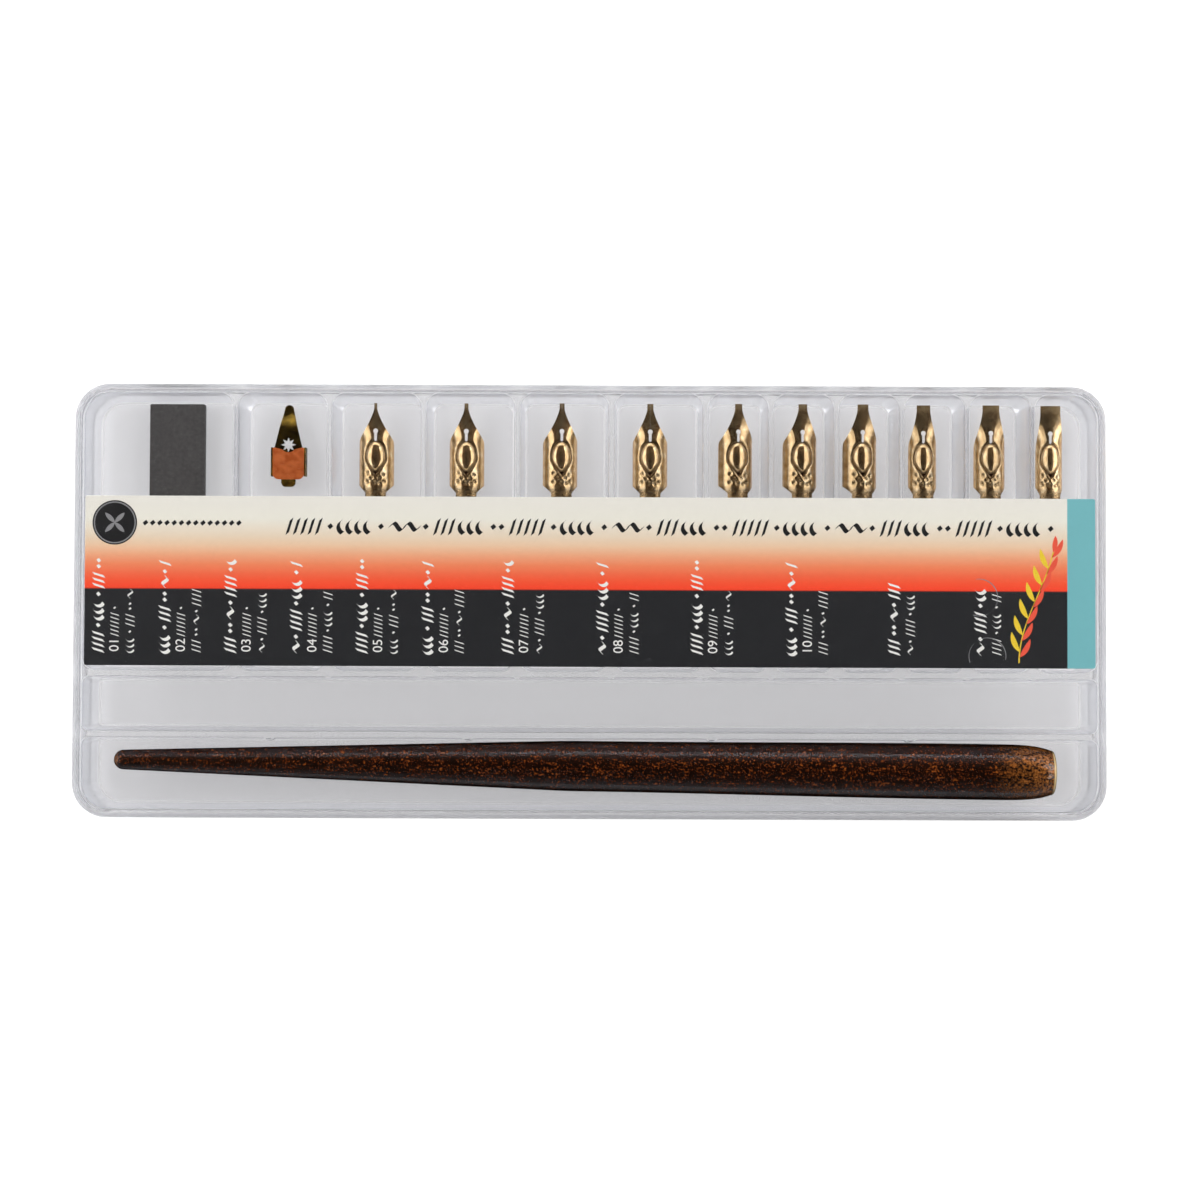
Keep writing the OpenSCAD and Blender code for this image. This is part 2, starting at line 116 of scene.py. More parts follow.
# Nibs: node, width of the writing edge, and degrees that the loose nib lies rolled over
NIBS = [
    ("nib_6", 0.55, 0), ("nib_5", 0.75, 0), ("nib_4", 0.95, 8), ("nib_3_half", 1.15, 0),
    ("nib_3", 1.35, 11), ("nib_2_half", 1.65, 9), ("nib_2", 2.05, 9), ("nib_1_half", 2.55, 0),
    ("nib_1", 3.15, 0), ("nib_0", 3.75, 0),
]
NIB_LEN = 34.0
SHEET_T = 0.28
TIP_RUN = 1.0
SHOULDER_AT = 7.0
WAIST_AT = 15.4
NECK_RUN = 1.5
SHANK_W = 3.9
BEND_OVER = 0.05
SHANK_BEND_R = 2.96
TIP_BEND_R = 24.0
TIP_DIP = 0.1
VENT_W = 0.95
VENT_STEM_W = 0.55
VENT_AT = 5.3
VENT_STEM = 1.9
SLIT_HALF = 0.008
REST_AIR = 0.02
TIP_ROLL = 0.25
ROLL_RUN = 10.0
OVAL_AT = 10.2
OVAL_LEN = 5.4
OVAL_W = 3.9
OVAL_H = 0.5
DIMPLE_R = 0.4
DIMPLES = [
    (-1.6, 13.2), (1.5, 13.5), (-0.8, 14.2), (0.6, 14.0), (1.7, 14.8), (-1.7, 14.8), (-0.2, 15.0),
    (0.9, 15.1),
]

# Reservoir
TONGUE_LEN = 7.9
TONGUE_W = 5.1
TONGUE_END_W = 1.7
TIP_Z = 0.55
PLATE_LEN = 6.3
PLATE_W = 6.6
PLATE_ON = 0.1
LUG_LEN = 1.4
LUG_W = 2.7
EAR_H = 1.6
EAR_BEND_R = 0.42
STAR_R = 1.45
RESERVOIR_T = 0.22

# Card and print
CARD_LOW, CARD_HIGH = corners("label_card")
CARD_AIR = 0.03
CARD_EASE = 0.35
CARD_CORNER_R = 0.4
CUT_ROUND = 0.04
INK_T = 0.006
PRINT_Z = CARD_HIGH.z - CARD_AIR + INK_T
CHARCOAL_TO_Y = 2.25
TEAL_FROM_X = 87.7

# Penholder, as in the part's own sizes
PEN_LEN = 175.6
TAIL_R = 1.85
TAPER_LEN = 85.0
TAPER_END_R = 4.7
BELLY_AT = 161.2
BELLY_R = 5.2
MOUTH_R = 3.95
MOUTH_ROUND = 0.5
BORE_R = 3.3
BORE_LEN = 19.0
PEN_YAW = math.radians(0.6)
PEN_SHIFT = 0.5
PEN_TAIL_GAP = 4.4
PEN_GAP = 0.3

# Camera
CAMERA_ABOVE_LIP = 430.0
CAMERA_X = 1.9
CAMERA_Y = -12.6
CAMERA_TILT = math.radians(1.725)
CAMERA_ROLL = math.radians(0.21)
LENS = 69.97

# Light: radiance of the softboxes at the sides and behind
SIDE_GLOW = 3.8
REAR_GLOW = 4.6

# How a Mix node mixes colours: one over the other, or one times the other
OVER = {"data_type": "RGBA"}
TIMES = {"data_type": "RGBA", "blend_type": "MULTIPLY"}


def linear(hex_colour):
    """A colour written as sRGB hex, as the linear colour that the shaders take."""
    parts = [int(hex_colour[i:i + 2], 16) / 255 for i in (1, 3, 5)]
    curve = [p / 12.92 if p <= 0.04045 else ((p + 0.055) / 1.055) ** 2.4 for p in parts]
    return (*curve, 1.0)


def feed(node, links):
    """Feeds a node's input sockets, each from an output or from another node's main output."""
    for socket, source in links.items():
        if isinstance(source, bpy.types.Node):
            source = next(output for output in source.outputs if output.enabled)
        node.id_data.links.new(source, node.inputs[socket])


def add_node(tree, kind, values=None, links=None, **settings):
    """Adds a shader node: values go to its input sockets, links feed those that vary."""
    node = tree.nodes.new("ShaderNode" + kind)
    for name, value in settings.items():
        setattr(node, name, value)
    for socket, value in (values or {}).items():
        node.inputs[socket].default_value = value
    feed(node, links or {})
    return node


def new_material(name, values):
    """A material with one Principled shader, and its node tree and that shader."""
    material = bpy.data.materials.new(name)
    material.use_nodes = True
    tree = material.node_tree
    tree.nodes.clear()
    shader = add_node(tree, "BsdfPrincipled", values)
    add_node(tree, "OutputMaterial", links={"Surface": shader})
    return material, tree, shader


def set_ramp(ramp_node, stops):
    """Gives a colour ramp its stops, each a place from 0 to 1 and a colour."""
    elements = ramp_node.color_ramp.elements
    while len(elements) > 1:
        elements.remove(elements[0])
    elements[0].position, elements[0].color = stops[0]
    for place, colour in stops[1:]:
        elements.new(place).color = colour


# Materials


def clear_polystyrene(name, tint, haze, flat_roughness):
    """Clear polystyrene, injection moulded: bright, slightly grey, with a faint waviness from the
    mould's flow. The lid's flat top is polished. The rest came from a blasted mould, so it is softer
    to look through and the tray is faintly milky. Seen from above, the lines inside its steep walls
    are finer than the picture can hold and blend to one pale grey, so part of the light passes
    straight through those. Light from the lamps passes through to what is inside. The flow's waves
    are 16 mm long."""
    material, tree, shader = new_material(name, {
        "Base Color": linear(tint),
        "IOR": 1.59,
        "Transmission Weight": 1.0 - haze,
    })
    facing = add_node(tree, "NewGeometry").outputs["Normal"]
    up = add_node(tree, "SeparateXYZ", links={0: facing}).outputs["Z"]
    level = add_node(tree, "Math", links={0: up}, operation="ABSOLUTE")
    polish = add_node(tree, "MapRange",
                      {"From Min": 0.97, "From Max": 0.995, "To Min": 0.3, "To Max": flat_roughness},
                      {"Value": level})
    place = add_node(tree, "TexCoord").outputs["Object"]
    flow = add_node(tree, "TexNoise", {"Scale": 1 / (16.0 * MM), "Detail": 2.0, "Roughness": 0.4},
                    {"Vector": place})
    wave = add_node(tree, "Bump", {"Strength": 0.08, "Distance": 0.0002}, {"Height": flow})
    path = add_node(tree, "LightPath").outputs
    soft = add_node(tree, "Math", links={0: path["Is Shadow Ray"], 1: path["Is Diffuse Ray"]},
                    operation="MAXIMUM")
    blend = add_node(tree, "MapRange", {"From Min": 0.1, "From Max": 0.8, "To Min": 0.6, "To Max": 0.0},
                     {"Value": level})
    wall = add_node(tree, "BsdfTransparent", {"Color": linear("#e4e5e9")})
    walled = add_node(tree, "MixShader", links={0: blend, 1: shader, 2: wall})
    veil = add_node(tree, "BsdfTransparent", {"Color": linear("#fcfcfc")})
    mixed = add_node(tree, "MixShader", links={0: soft, 1: walled, 2: veil})
    output = next(n for n in tree.nodes if n.type == "OUTPUT_MATERIAL")
    feed(output, {"Surface": mixed})
    feed(shader, {"Roughness": polish, "Normal": wave})
    return material


def printed_card():
    """Coated card, offset printed: cream at the top, fading through peach to orange-red, then a
    sharp charcoal band, and a teal end. The coating is satin, with a faint paper tooth. The screen
    of the print, about 0.15 mm, is drawn as 0.5 mm to show."""
    material, tree, shader = new_material("coated_card_offset_printed", {
        "Roughness": 0.42,
        "Specular IOR Level": 0.4,
    })
    place = add_node(tree, "TexCoord").outputs["Object"]
    axes = add_node(tree, "SeparateXYZ", links={0: place}).outputs
    up_card = add_node(tree, "MapRange", {"From Min": CARD_LOW.y * MM, "From Max": CARD_HIGH.y * MM},
                       {"Value": axes["Y"]})
    depth = CARD_HIGH.y - CARD_LOW.y
    fade = [
        (CHARCOAL_TO_Y, "#fb472a"), (3.6, "#fa5735"), (5.0, "#f66c48"), (6.7, "#f48a60"),
        (8.5, "#f2ac84"), (10.2, "#f0cba8"), (11.9, "#ecd9c0"), (15.0, "#efecdf"), (19.0, "#edeae1"),
    ]
    bands = add_node(tree, "ValToRGB", links={"Fac": up_card})
    charcoal = linear("#1e1f22")
    edge = (CHARCOAL_TO_Y - CARD_LOW.y) / depth
    set_ramp(bands, [(0.0, charcoal), (edge - 0.006, charcoal)] + [
        ((y - CARD_LOW.y) / depth, linear(colour)) for y, colour in fade])
    at_end = add_node(tree, "Math", {1: TEAL_FROM_X * MM}, {0: axes["X"]}, operation="GREATER_THAN")
    teal = add_node(tree, "Mix", {"B": linear("#76b9bf")}, {"Factor": at_end, "A": bands}, **OVER)
    grain = add_node(tree, "TexNoise", {"Scale": 1 / (0.5 * MM), "Detail": 2.0}, {"Vector": place})
    tone = add_node(tree, "MapRange", {"To Min": 0.94, "To Max": 1.05}, {"Value": grain})
    inked = add_node(tree, "Mix", {"Factor": 1.0}, {"A": teal, "B": tone}, **TIMES)
    facing = add_node(tree, "NewGeometry").outputs["Normal"]
    up = add_node(tree, "SeparateXYZ", links={0: facing}).outputs["Z"]
    on_top = add_node(tree, "Math", {1: 0.5}, {0: up}, operation="GREATER_THAN")
    paper = add_node(tree, "Mix", {"A": linear("#efece4")}, {"Factor": on_top, "B": inked}, **OVER)
    tooth = add_node(tree, "Bump", {"Strength": 0.15, "Distance": 0.00002}, {"Height": grain})
    feed(shader, {"Base Color": paper, "Normal": tooth})
    return material


def printing_ink(name, colour):
    """Offset ink on coated card: flat, a little glossier than the card, with a 0.8 mm mottle."""
    material, tree, shader = new_material(name, {"Roughness": 0.35})
    place = add_node(tree, "TexCoord").outputs["Object"]
    film = add_node(tree, "TexNoise", {"Scale": 1 / (0.8 * MM), "Detail": 1.0}, {"Vector": place})
    tone = add_node(tree, "MapRange", {"To Min": 0.93, "To Max": 1.04}, {"Value": film})
    ink = add_node(tree, "Mix", {"Factor": 1.0, "A": linear(colour)}, {"B": tone}, **TIMES)
    feed(shader, {"Base Color": ink})
    return material


def ferrite_rubber():
    """Flexible ferrite magnet, calendered sheet: dull dark grey with a fine powdery speckle, about
    0.1 mm and drawn as 0.6 mm to show, and a soft cloudiness of 9 mm."""
    material, tree, shader = new_material("ferrite_rubber_calendered", {"Specular IOR Level": 0.3})
    place = add_node(tree, "TexCoord").outputs["Object"]
    powder = add_node(tree, "TexNoise", {"Scale": 1 / (0.6 * MM), "Detail": 4.0}, {"Vector": place})
    cloud = add_node(tree, "TexNoise", {"Scale": 1 / (9.0 * MM), "Detail": 2.0}, {"Vector": place})
    speck = add_node(tree, "ValToRGB", links={"Fac": powder})
    set_ramp(speck, [(0.3, linear("#373535")), (0.6, linear("#424040")), (0.8, linear("#4b4949"))])
    tone = add_node(tree, "MapRange", {"To Min": 0.85, "To Max": 1.15}, {"Value": cloud})
    colour = add_node(tree, "Mix", {"Factor": 1.0}, {"A": speck, "B": tone}, **TIMES)
    dull = add_node(tree, "MapRange", {"To Min": 0.6, "To Max": 0.85}, {"Value": powder})
    skin_bump = add_node(tree, "Bump", {"Strength": 0.4, "Distance": 0.00004}, {"Height": powder})
    feed(shader, {"Base Color": colour, "Roughness": dull, "Normal": skin_bump})
    return material


def bronzed_steel():
    """Spring steel nib sheet, rolled, stamped and bronze lacquered: bright gold where it curves to
    the light, and brown where the lacquer has gathered in the grooves, with tumbling marks of about
    0.2 mm, drawn as 1.1 mm to show. Two darker tones are painted shade: amber where the sheet is seen
    at a shallow angle, and brown near the writing edge and at the neck."""
    material, tree, shader = new_material("spring_steel_bronze_lacquered", {"Metallic": 1.0})
    place = add_node(tree, "TexCoord").outputs["Object"]
    # Darkening from 0 to 1: lacquer gathered in the grooves, and painted shade near the writing edge
    # and at the neck.
    hollow = add_node(tree, "Attribute", attribute_name="groove_depth_and_painted_shade").outputs["Fac"]
    haze = add_node(tree, "TexNoise", {"Scale": 1 / (1.1 * MM), "Detail": 3.0}, {"Vector": place})
    tint = add_node(tree, "ValToRGB", links={"Fac": haze})
    set_ramp(tint, [(0.3, linear("#cfaa76")), (0.55, linear("#e6c592")), (0.75, linear("#f4dcb2"))])
    # Painted shade: amber where the sheet is seen at a shallow angle, on its flanks.
    slant = add_node(tree, "LayerWeight", {"Blend": 0.5}).outputs["Facing"]
    deep = add_node(tree, "MapRange", {"From Min": 0.3, "From Max": 0.8, "To Max": 0.55},
                    {"Value": slant})
    amber = add_node(tree, "Mix", {"B": linear("#b47a40")}, {"Factor": deep, "A": tint}, **OVER)
    # Brown over the lacquer-filled grooves, and painted shade near the writing edge and at the neck.
    groove_lacquer_and_painted_shade = add_node(tree, "Mix", {"B": linear("#2e190b")}, {"Factor": hollow, "A": amber}, **OVER)
    rubbed = add_node(tree, "MapRange", {"To Min": 0.07, "To Max": 0.16}, {"Value": haze})
    dull = add_node(tree, "Math", {1: 0.25}, {0: hollow, 2: rubbed}, operation="MULTIPLY_ADD")
    tumble = add_node(tree, "Bump", {"Strength": 0.12, "Distance": 0.00003}, {"Height": haze})
    feed(shader, {"Base Color": groove_lacquer_and_painted_shade, "Roughness": dull, "Normal": tumble})
    return material


def sheet_metal(name, dark, light, roughness):
    """Thin sheet, blanked and tumbled: soft, uneven shine between two tones, with dents of about
    0.3 mm, drawn as 1.2 mm to show."""
    material, tree, shader = new_material(name, {"Metallic": 1.0, "Roughness": roughness})
    place = add_node(tree, "TexCoord").outputs["Object"]
    haze = add_node(tree, "TexNoise", {"Scale": 1 / (1.2 * MM), "Detail": 4.0}, {"Vector": place})
    tone = add_node(tree, "ValToRGB", links={"Fac": haze})
    set_ramp(tone, [(0.35, linear(dark)), (0.65, linear(light))])
    dents = add_node(tree, "Bump", {"Strength": 0.3, "Distance": 0.00004}, {"Height": haze})
    feed(shader, {"Base Color": tone, "Normal": dents})
    return material


def lacquered_hardwood():
    """Turned hardwood, stained dark brown and dipped in tinted gloss lacquer: orange-brown flecks
    0.4 to 2 mm long where the stain has taken less, with lighter orange patches towards the two ends,
    a pale band round the mouth's edge, and a thin smooth coat. It has soaked in, so the wood below has
    no shine of its own. Its colour is darkened where it is seen at a shallow angle, painted shade on
    the shaft's flanks. There the coat's gloss fades too: from above, the shaft's steep flanks would
    otherwise mirror the surroundings as a grey veil."""
    material, tree, shader = new_material("hardwood_stained_gloss_lacquered", {
        "Roughness": 0.6,
        "Specular IOR Level": 0.0,
        "Coat Roughness": 0.1,
        "Coat IOR": 1.5,
    })
    place = add_node(tree, "TexCoord").outputs["Object"]
    along = add_node(tree, "Mapping", {"Scale": (1.0, 1.0, 0.3)}, {"Vector": place})
    grain = add_node(tree, "TexNoise", {"Scale": 1 / (0.6 * MM), "Detail": 4.0, "Roughness": 0.6},
                     {"Vector": along})
    fleck = add_node(tree, "TexNoise", {"Scale": 1 / (0.4 * MM), "Detail": 2.0, "Roughness": 0.5},
                     {"Vector": place})
    both = add_node(tree, "Mix", {"Factor": 0.62}, {"A": grain, "B": fleck})
    tone = add_node(tree, "ValToRGB", links={"Fac": both})
    set_ramp(tone, [(0.38, linear("#070201")), (0.5, linear("#1d0a03")), (0.58, linear("#431b07")),
                    (0.68, linear("#a0561e"))])
    axes = add_node(tree, "SeparateXYZ", links={0: place}).outputs
    mouth = add_node(tree, "MapRange", {"From Min": (PEN_LEN - 12.0) * MM, "From Max": PEN_LEN * MM},
                     {"Value": axes["Z"]})
    tail = add_node(tree, "MapRange", {"From Min": 1.2 * MM, "From Max": 0.4 * MM},
                    {"Value": axes["Z"]})
    ends = add_node(tree, "Math", links={0: mouth, 1: tail}, operation="MAXIMUM")
    patchy = add_node(tree, "MapRange", {"From Min": 0.42, "From Max": 0.62}, {"Value": both})
    rubbed = add_node(tree, "Math", links={0: ends, 1: patchy}, operation="MULTIPLY")
    # Lighter orange patches towards the two ends.
    lighter_at_ends = add_node(tree, "Mix", {"B": linear("#bc7434")}, {"Factor": rubbed, "A": tone}, **OVER)
    # A pale band round the mouth's edge.
    cut = add_node(tree, "MapRange",
                   {"From Min": (PEN_LEN - 0.6) * MM, "From Max": (PEN_LEN - 0.4) * MM},
                   {"Value": axes["Z"]})
    rim = add_node(tree, "Mix", {"B": linear("#e2c48e")}, {"Factor": cut, "A": lighter_at_ends}, **OVER)
    slant = add_node(tree, "LayerWeight", {"Blend": 0.5}).outputs["Facing"]
    # Painted shade: the colour darkens where the shaft is seen at a shallow angle, on its flanks.
    deep = add_node(tree, "MapRange",
                    {"From Min": 0.15, "From Max": 0.75, "To Min": 1.0, "To Max": 0.12},
                    {"Value": slant})
    gloss = add_node(tree, "MapRange",
                     {"From Min": 0.32, "From Max": 0.62, "To Min": 0.95, "To Max": 0.0},
                     {"Value": slant})
    # The wood's colour with the painted shade on its flanks.
    lacquered = add_node(tree, "Mix", {"Factor": 1.0}, {"A": rim, "B": deep}, **TIMES)
    pores = add_node(tree, "Bump", {"Strength": 0.25, "Distance": 0.00004}, {"Height": grain})
    feed(shader, {"Coat Weight": gloss, "Base Color": lacquered, "Normal": pores})
    return material


def pale_table():
    """White laminate table under a soft light: plain, with a little glow of its own."""
    material, _, _ = new_material("white_laminate", {
        "Base Color": linear("#b8b8b8"),
        "Roughness": 0.9,
        "Emission Color": (1.0, 1.0, 1.0, 1.0),
        "Emission Strength": 0.7,
    })
    return material


# Outlines and skins


def arc(x, y, radius, start, turn, steps):
    """Points on a circle from the angle start, in degrees, through the angle turn."""
    angles = [math.radians(start + turn * i / steps) for i in range(steps + 1)]
    return [(x + radius * math.cos(a), y + radius * math.sin(a)) for a in angles]


def rounded_outline(x, y, radii, inset=0.0, bumps=()):
    """A rectangle with rounded corners, counter-clockwise from its low corner, drawn in by inset.
    bumps are places along x, from high to low, and how far the high-y side stands in there."""
    starts = (180, 270, 0, 90)
    centres = [
        (x[0] + radii[0], y[0] + radii[0]), (x[1] - radii[1], y[0] + radii[1]),
        (x[1] - radii[2], y[1] - radii[2]), (x[0] + radii[3], y[1] - radii[3]),
    ]
    turns = [arc(*centre, radius - inset, start, 90, CORNER_STEPS)
             for centre, radius, start in zip(centres, radii, starts)]
    side = [(place, y[1] - inset - out) for place, out in bumps]
    return turns[0] + turns[1] + turns[2] + side + turns[3]


def case_outline(inset):
    """The case's outline, drawn in by inset."""
    return rounded_outline((-HALF_LEN, HALF_LEN), (-HALF_DEPTH, HALF_DEPTH), (CORNER_R,) * 4, inset)


def filleted(path, steps=5):
    """A path of (across, z, radius) with an arc at each inner point, and without its two ends."""
    points = []
    for before, here, after in zip(path, path[1:], path[2:]):
        corner = Vector(here[:2])
        back = (Vector(before[:2]) - corner).normalized()
        on = (Vector(after[:2]) - corner).normalized()
        half = back.angle(on) / 2
        reach = here[2] / math.tan(half)
        centre = corner + (back + on).normalized() * (here[2] / math.sin(half))
        first = corner + back * reach - centre
        last = corner + on * reach - centre
        for i in range(steps + 1):
            points.append(tuple(centre + first.slerp(last, i / steps) * here[2]))
    return points


def add_ring(bm, outline, z):
    """One ring of vertices."""
    return [bm.verts.new((x, y, z)) for x, y in outline]


def skin(bm, rings):
    """Faces between each closed ring and the next."""
    count = len(rings[0])
    for upper, lower in zip(rings, rings[1:]):
        for i in range(count):
            j = (i + 1) % count
            bm.faces.new((upper[i], lower[i], lower[j], upper[j]))


def ring_edges(bm, ring):
    """The edges round a ring."""
    return [bm.edges.get((a, b)) for a, b in zip(ring, ring[1:] + ring[:1])]


def new_object(name, data):
    """An object in the scene."""
    made = bpy.data.objects.new(name, data)
    bpy.context.scene.collection.objects.link(made)
    return made


def face_up(bm):
    """Turns every face of a flat skin to look up."""
    for face in bm.faces:
        if face.normal.z < 0:
            face.normal_flip()


def finish_piece(name, bm, material, body, nodes=(), place=None):
    """Turns a mesh in millimetres into a piece that rides on a body and stands for CAD nodes."""
    bmesh.ops.scale(bm, vec=(MM, MM, MM), verts=bm.verts)
    mesh = bpy.data.meshes.new(name)
    bm.to_mesh(mesh)
    bm.free()
    mesh.shade_smooth()
    mesh.materials.append(material)
    piece = new_object(name, mesh)
    if place is not None:
        piece.matrix_world = place
    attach(piece, body)
    if nodes:
        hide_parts(*nodes)
    return piece


def keep_flats(piece):
    """Lets the large flat faces stay flat beside their rounded edges."""
    weighted = piece.modifiers.new("flat faces", "WEIGHTED_NORMAL")
    weighted.weight = 100
    weighted.keep_sharp = True


def applied_mesh(source):
    """A mesh of what an object looks like now, modifiers and all."""
    bpy.context.view_layer.update()
    return bpy.data.meshes.new_from_object(
        source.evaluated_get(bpy.context.evaluated_depsgraph_get()))


def thicken(piece, thickness):
    """Gives a skin its thickness below the outer side, with crisp cut edges."""
    solid = piece.modifiers.new("sheet", "SOLIDIFY")
    solid.thickness = thickness * MM
    solid.offset = -1.0
    made = applied_mesh(piece)
    piece.modifiers.clear()
    made.set_sharp_from_angle(angle=math.radians(50))
    piece.data = made


def make_block(name, path, outline_at, material, body, node):
    """A closed block with an outline at each (inset, z) of a path, and flat ends."""
    bm = bmesh.new()
    rings = [add_ring(bm, outline_at(inset), z) for inset, z in path]
    skin(bm, rings)
    bm.faces.new(rings[0])
    bm.faces.new(rings[-1])
    bmesh.ops.recalc_face_normals(bm, faces=bm.faces)
    piece = finish_piece(name, bm, material, body, [node])
    keep_flats(piece)
    return piece


# Tray and lid


def lean_at(z):
    """How far a moulded wall has leant in from the rim at height z."""
    return (LIP_TOP - z) * math.tan(DRAFT)


def side_rise(z):
    """How far the nubs and the marks are up at height z, from 0 at their foot to 1."""
    return min(1.0, max(0.0, (z - NUB_FOOT) / NUB_FADE))


def nub_side(z):
    """Points along the trough's inner wall with the nubs that stand out of it near the rim."""
    rise = side_rise(z)
    steps = 24
    side = []
    for middle in NUBS_X:
        for i in range(steps + 1):
            across = NUB_SKIRT * (1 - 2 * i / steps)
            crown = math.sqrt(max(0.0, 1 - (across / NUB_HALF) ** 2))
            skirt = 0.18 * (1 + math.cos(math.pi * across / NUB_SKIRT)) / 2
            side.append((middle + across, rise * NUB_OUT * max(crown, skirt)))
    return side


def mark_side(z):
    """Points along the middle compartment's wall with a shallow round mark behind each divider."""
    rise = side_rise(z)
    steps = 10
    side = []
    for _, right in reversed(bay_edges()[:-1]):
        for i in range(steps + 1):
            across = MARK_HALF * (1 - 2 * i / steps)
            side.append((right + DIVIDER / 2 + across,
                         rise * MARK_OUT * math.sqrt(max(0.0, 1 - (across / MARK_HALF) ** 2))))
    return side


def add_hollow(bm, x, y, radii, side_at=None):
    """A moulded hollow in the tray, with a rounded rim and foot. Returns its ring in the top face.
    side_at gives the bumps along its high-y wall at a height."""
    foot = (lean_at(FLOOR_Z), FLOOR_Z, FOOT_ROUND)
    path = filleted([(-INWARD, LIP_TOP, 0.0), (0.0, LIP_TOP, RIM_ROUND), foot,
                     (INWARD, FLOOR_Z, 0.0)])
    if side_at:
        levels = [(lean_at(z), z) for z in (NUB_FOOT + NUB_FADE, NUB_FOOT + NUB_FADE / 2, NUB_FOOT)]
        path = path[:6] + levels + path[6:]
    rings = [add_ring(bm, rounded_outline(x, y, radii, inset, side_at(z) if side_at else ()), z)
             for inset, z in path]
    skin(bm, rings)
    bm.faces.new(rings[-1])
    return rings[0]


def bay_edges():
    """Left and right edges of the twelve bays at the rim."""
    narrow = 2 * INNER_X / sum(BAY_WIDTHS)
    dividers = []
    at = -INNER_X
    for width in BAY_WIDTHS[:-1]:
        at += width * narrow
        dividers.append(at)
    lefts = [-INNER_X] + [x + DIVIDER / 2 for x in dividers]
    rights = [x - DIVIDER / 2 for x in dividers] + [INNER_X]
    return list(zip(lefts, rights))


def make_tray(material):
    """The tray: one moulding with a lip, twelve bays, a middle compartment and a trough."""
    bm = bmesh.new()
    outer = filleted([
        (INWARD, LIP_TOP, 0.0),
        (LIP_INSET, LIP_TOP, LIP_ROUND),
        (LIP_INSET, PARTING_Z, STEP_ROUND),
        (0.0, PARTING_Z, LIP_ROUND),
        (OUTER_LEAN, 0.0, EDGE_R),
        (INWARD, 0.0, 0.0),
    ])
    rings = [add_ring(bm, case_outline(inset), z) for inset, z in outer]
    skin(bm, rings)
    bm.faces.new(rings[-1])
    tops = [rings[0]]
    bays = bay_edges()
    for i, x in enumerate(bays):
        radii = (BAY_R, BAY_R, RIM_CORNER_R if i == len(bays) - 1 else BAY_R,
                 RIM_CORNER_R if i == 0 else BAY_R)
        tops.append(add_hollow(bm, x, BAYS_Y, radii))
    whole = (-INNER_X, INNER_X)
    tops.append(add_hollow(bm, whole, MIDDLE_Y, (SQUARE_R,) * 4, mark_side))
    trough_radii = (RIM_CORNER_R, RIM_CORNER_R, SQUARE_R, SQUARE_R)
    tops.append(add_hollow(bm, whole, TROUGH_Y, trough_radii, nub_side))
    loops = [edge for ring in tops for edge in ring_edges(bm, ring)]
    bmesh.ops.triangle_fill(bm, use_beauty=True, edges=loops, normal=(0, 0, 1))
    bmesh.ops.recalc_face_normals(bm, faces=bm.faces)
    keep_flats(finish_piece("tray", bm, material, "base", ["base_tray"]))


def make_lid(material):
    """The lid: a flat top with a skirt that laps over the tray's lip."""
    under = CASE_TOP - LID_TOP_T
    path = filleted([
        (INWARD, CASE_TOP, 0.0),
        (OUTER_LEAN / 2, CASE_TOP, EDGE_R),
        (0.0, LID_LOW.z + LEDGE_AIR, LIP_ROUND),
        (LAP_INSET, LID_LOW.z + LEDGE_AIR, STEP_ROUND),
        (LAP_INSET, LIP_TOP + LIP_ROOM, STEP_ROUND),
        (WALL, LIP_TOP + LIP_ROOM, STEP_ROUND),
        (WALL, under, LIP_ROUND),
        (INWARD, under, 0.0),
    ])
    return make_block("lid_shell", path, case_outline, material, "lid", "lid")


# Card and its print


def make_card(material):
    """The card: a cut sheet with barely rounded corners, glued under the lid."""
    top = CARD_HIGH.z - CARD_AIR
    path = filleted([(INWARD, top, 0.0), (0.0, top, CUT_ROUND), (0.0, CARD_LOW.z, CUT_ROUND),
                     (INWARD, CARD_LOW.z, 0.0)], steps=2)
    x, y = (CARD_LOW.x - CARD_EASE, CARD_HIGH.x + CARD_EASE), (CARD_LOW.y, CARD_HIGH.y)
    make_block("printed_card", path, lambda inset: rounded_outline(x, y, (CARD_CORNER_R,) * 4, inset),
               material, "lid", "label_card")


def add_ribbon(bm, pairs):
    """A flat ribbon of ink on the card, between pairs of points."""
    rows = [(bm.verts.new((*a, PRINT_Z)), bm.verts.new((*b, PRINT_Z))) for a, b in pairs]
    for (a, b), (c, d) in zip(rows, rows[1:]):
        bm.faces.new((a, b, d, c))


def add_stroke(bm, path, pen_w, pen_angle):
    """A broad pen's mark: the pen's edge, held at one angle, drawn along a path."""
    edge = Vector((math.cos(pen_angle), math.sin(pen_angle))) * pen_w / 2
    add_ribbon(bm, [(Vector(p) - edge, Vector(p) + edge) for p in path])


def motif_path(kind, size):
    """The pen's path for one plain practice stroke, standing on the line, and the room it takes."""
    if kind == "slant":
        return [(0.0, 0.0), (0.3 * size, size)], 0.5 * size
    if kind == "crescent":
        return arc(0.42 * size, size / 2, size / 2, 120, 125, 12), 0.6 * size
    if kind == "wave":
        steps = 12
        return [(i / steps * size, size / 2 + 0.25 * size * math.sin(2 * math.pi * i / steps))
                for i in range(steps + 1)], size
    return [(0.1 * size, 0.62 * size), (0.27 * size, 0.4 * size)], 0.55 * size


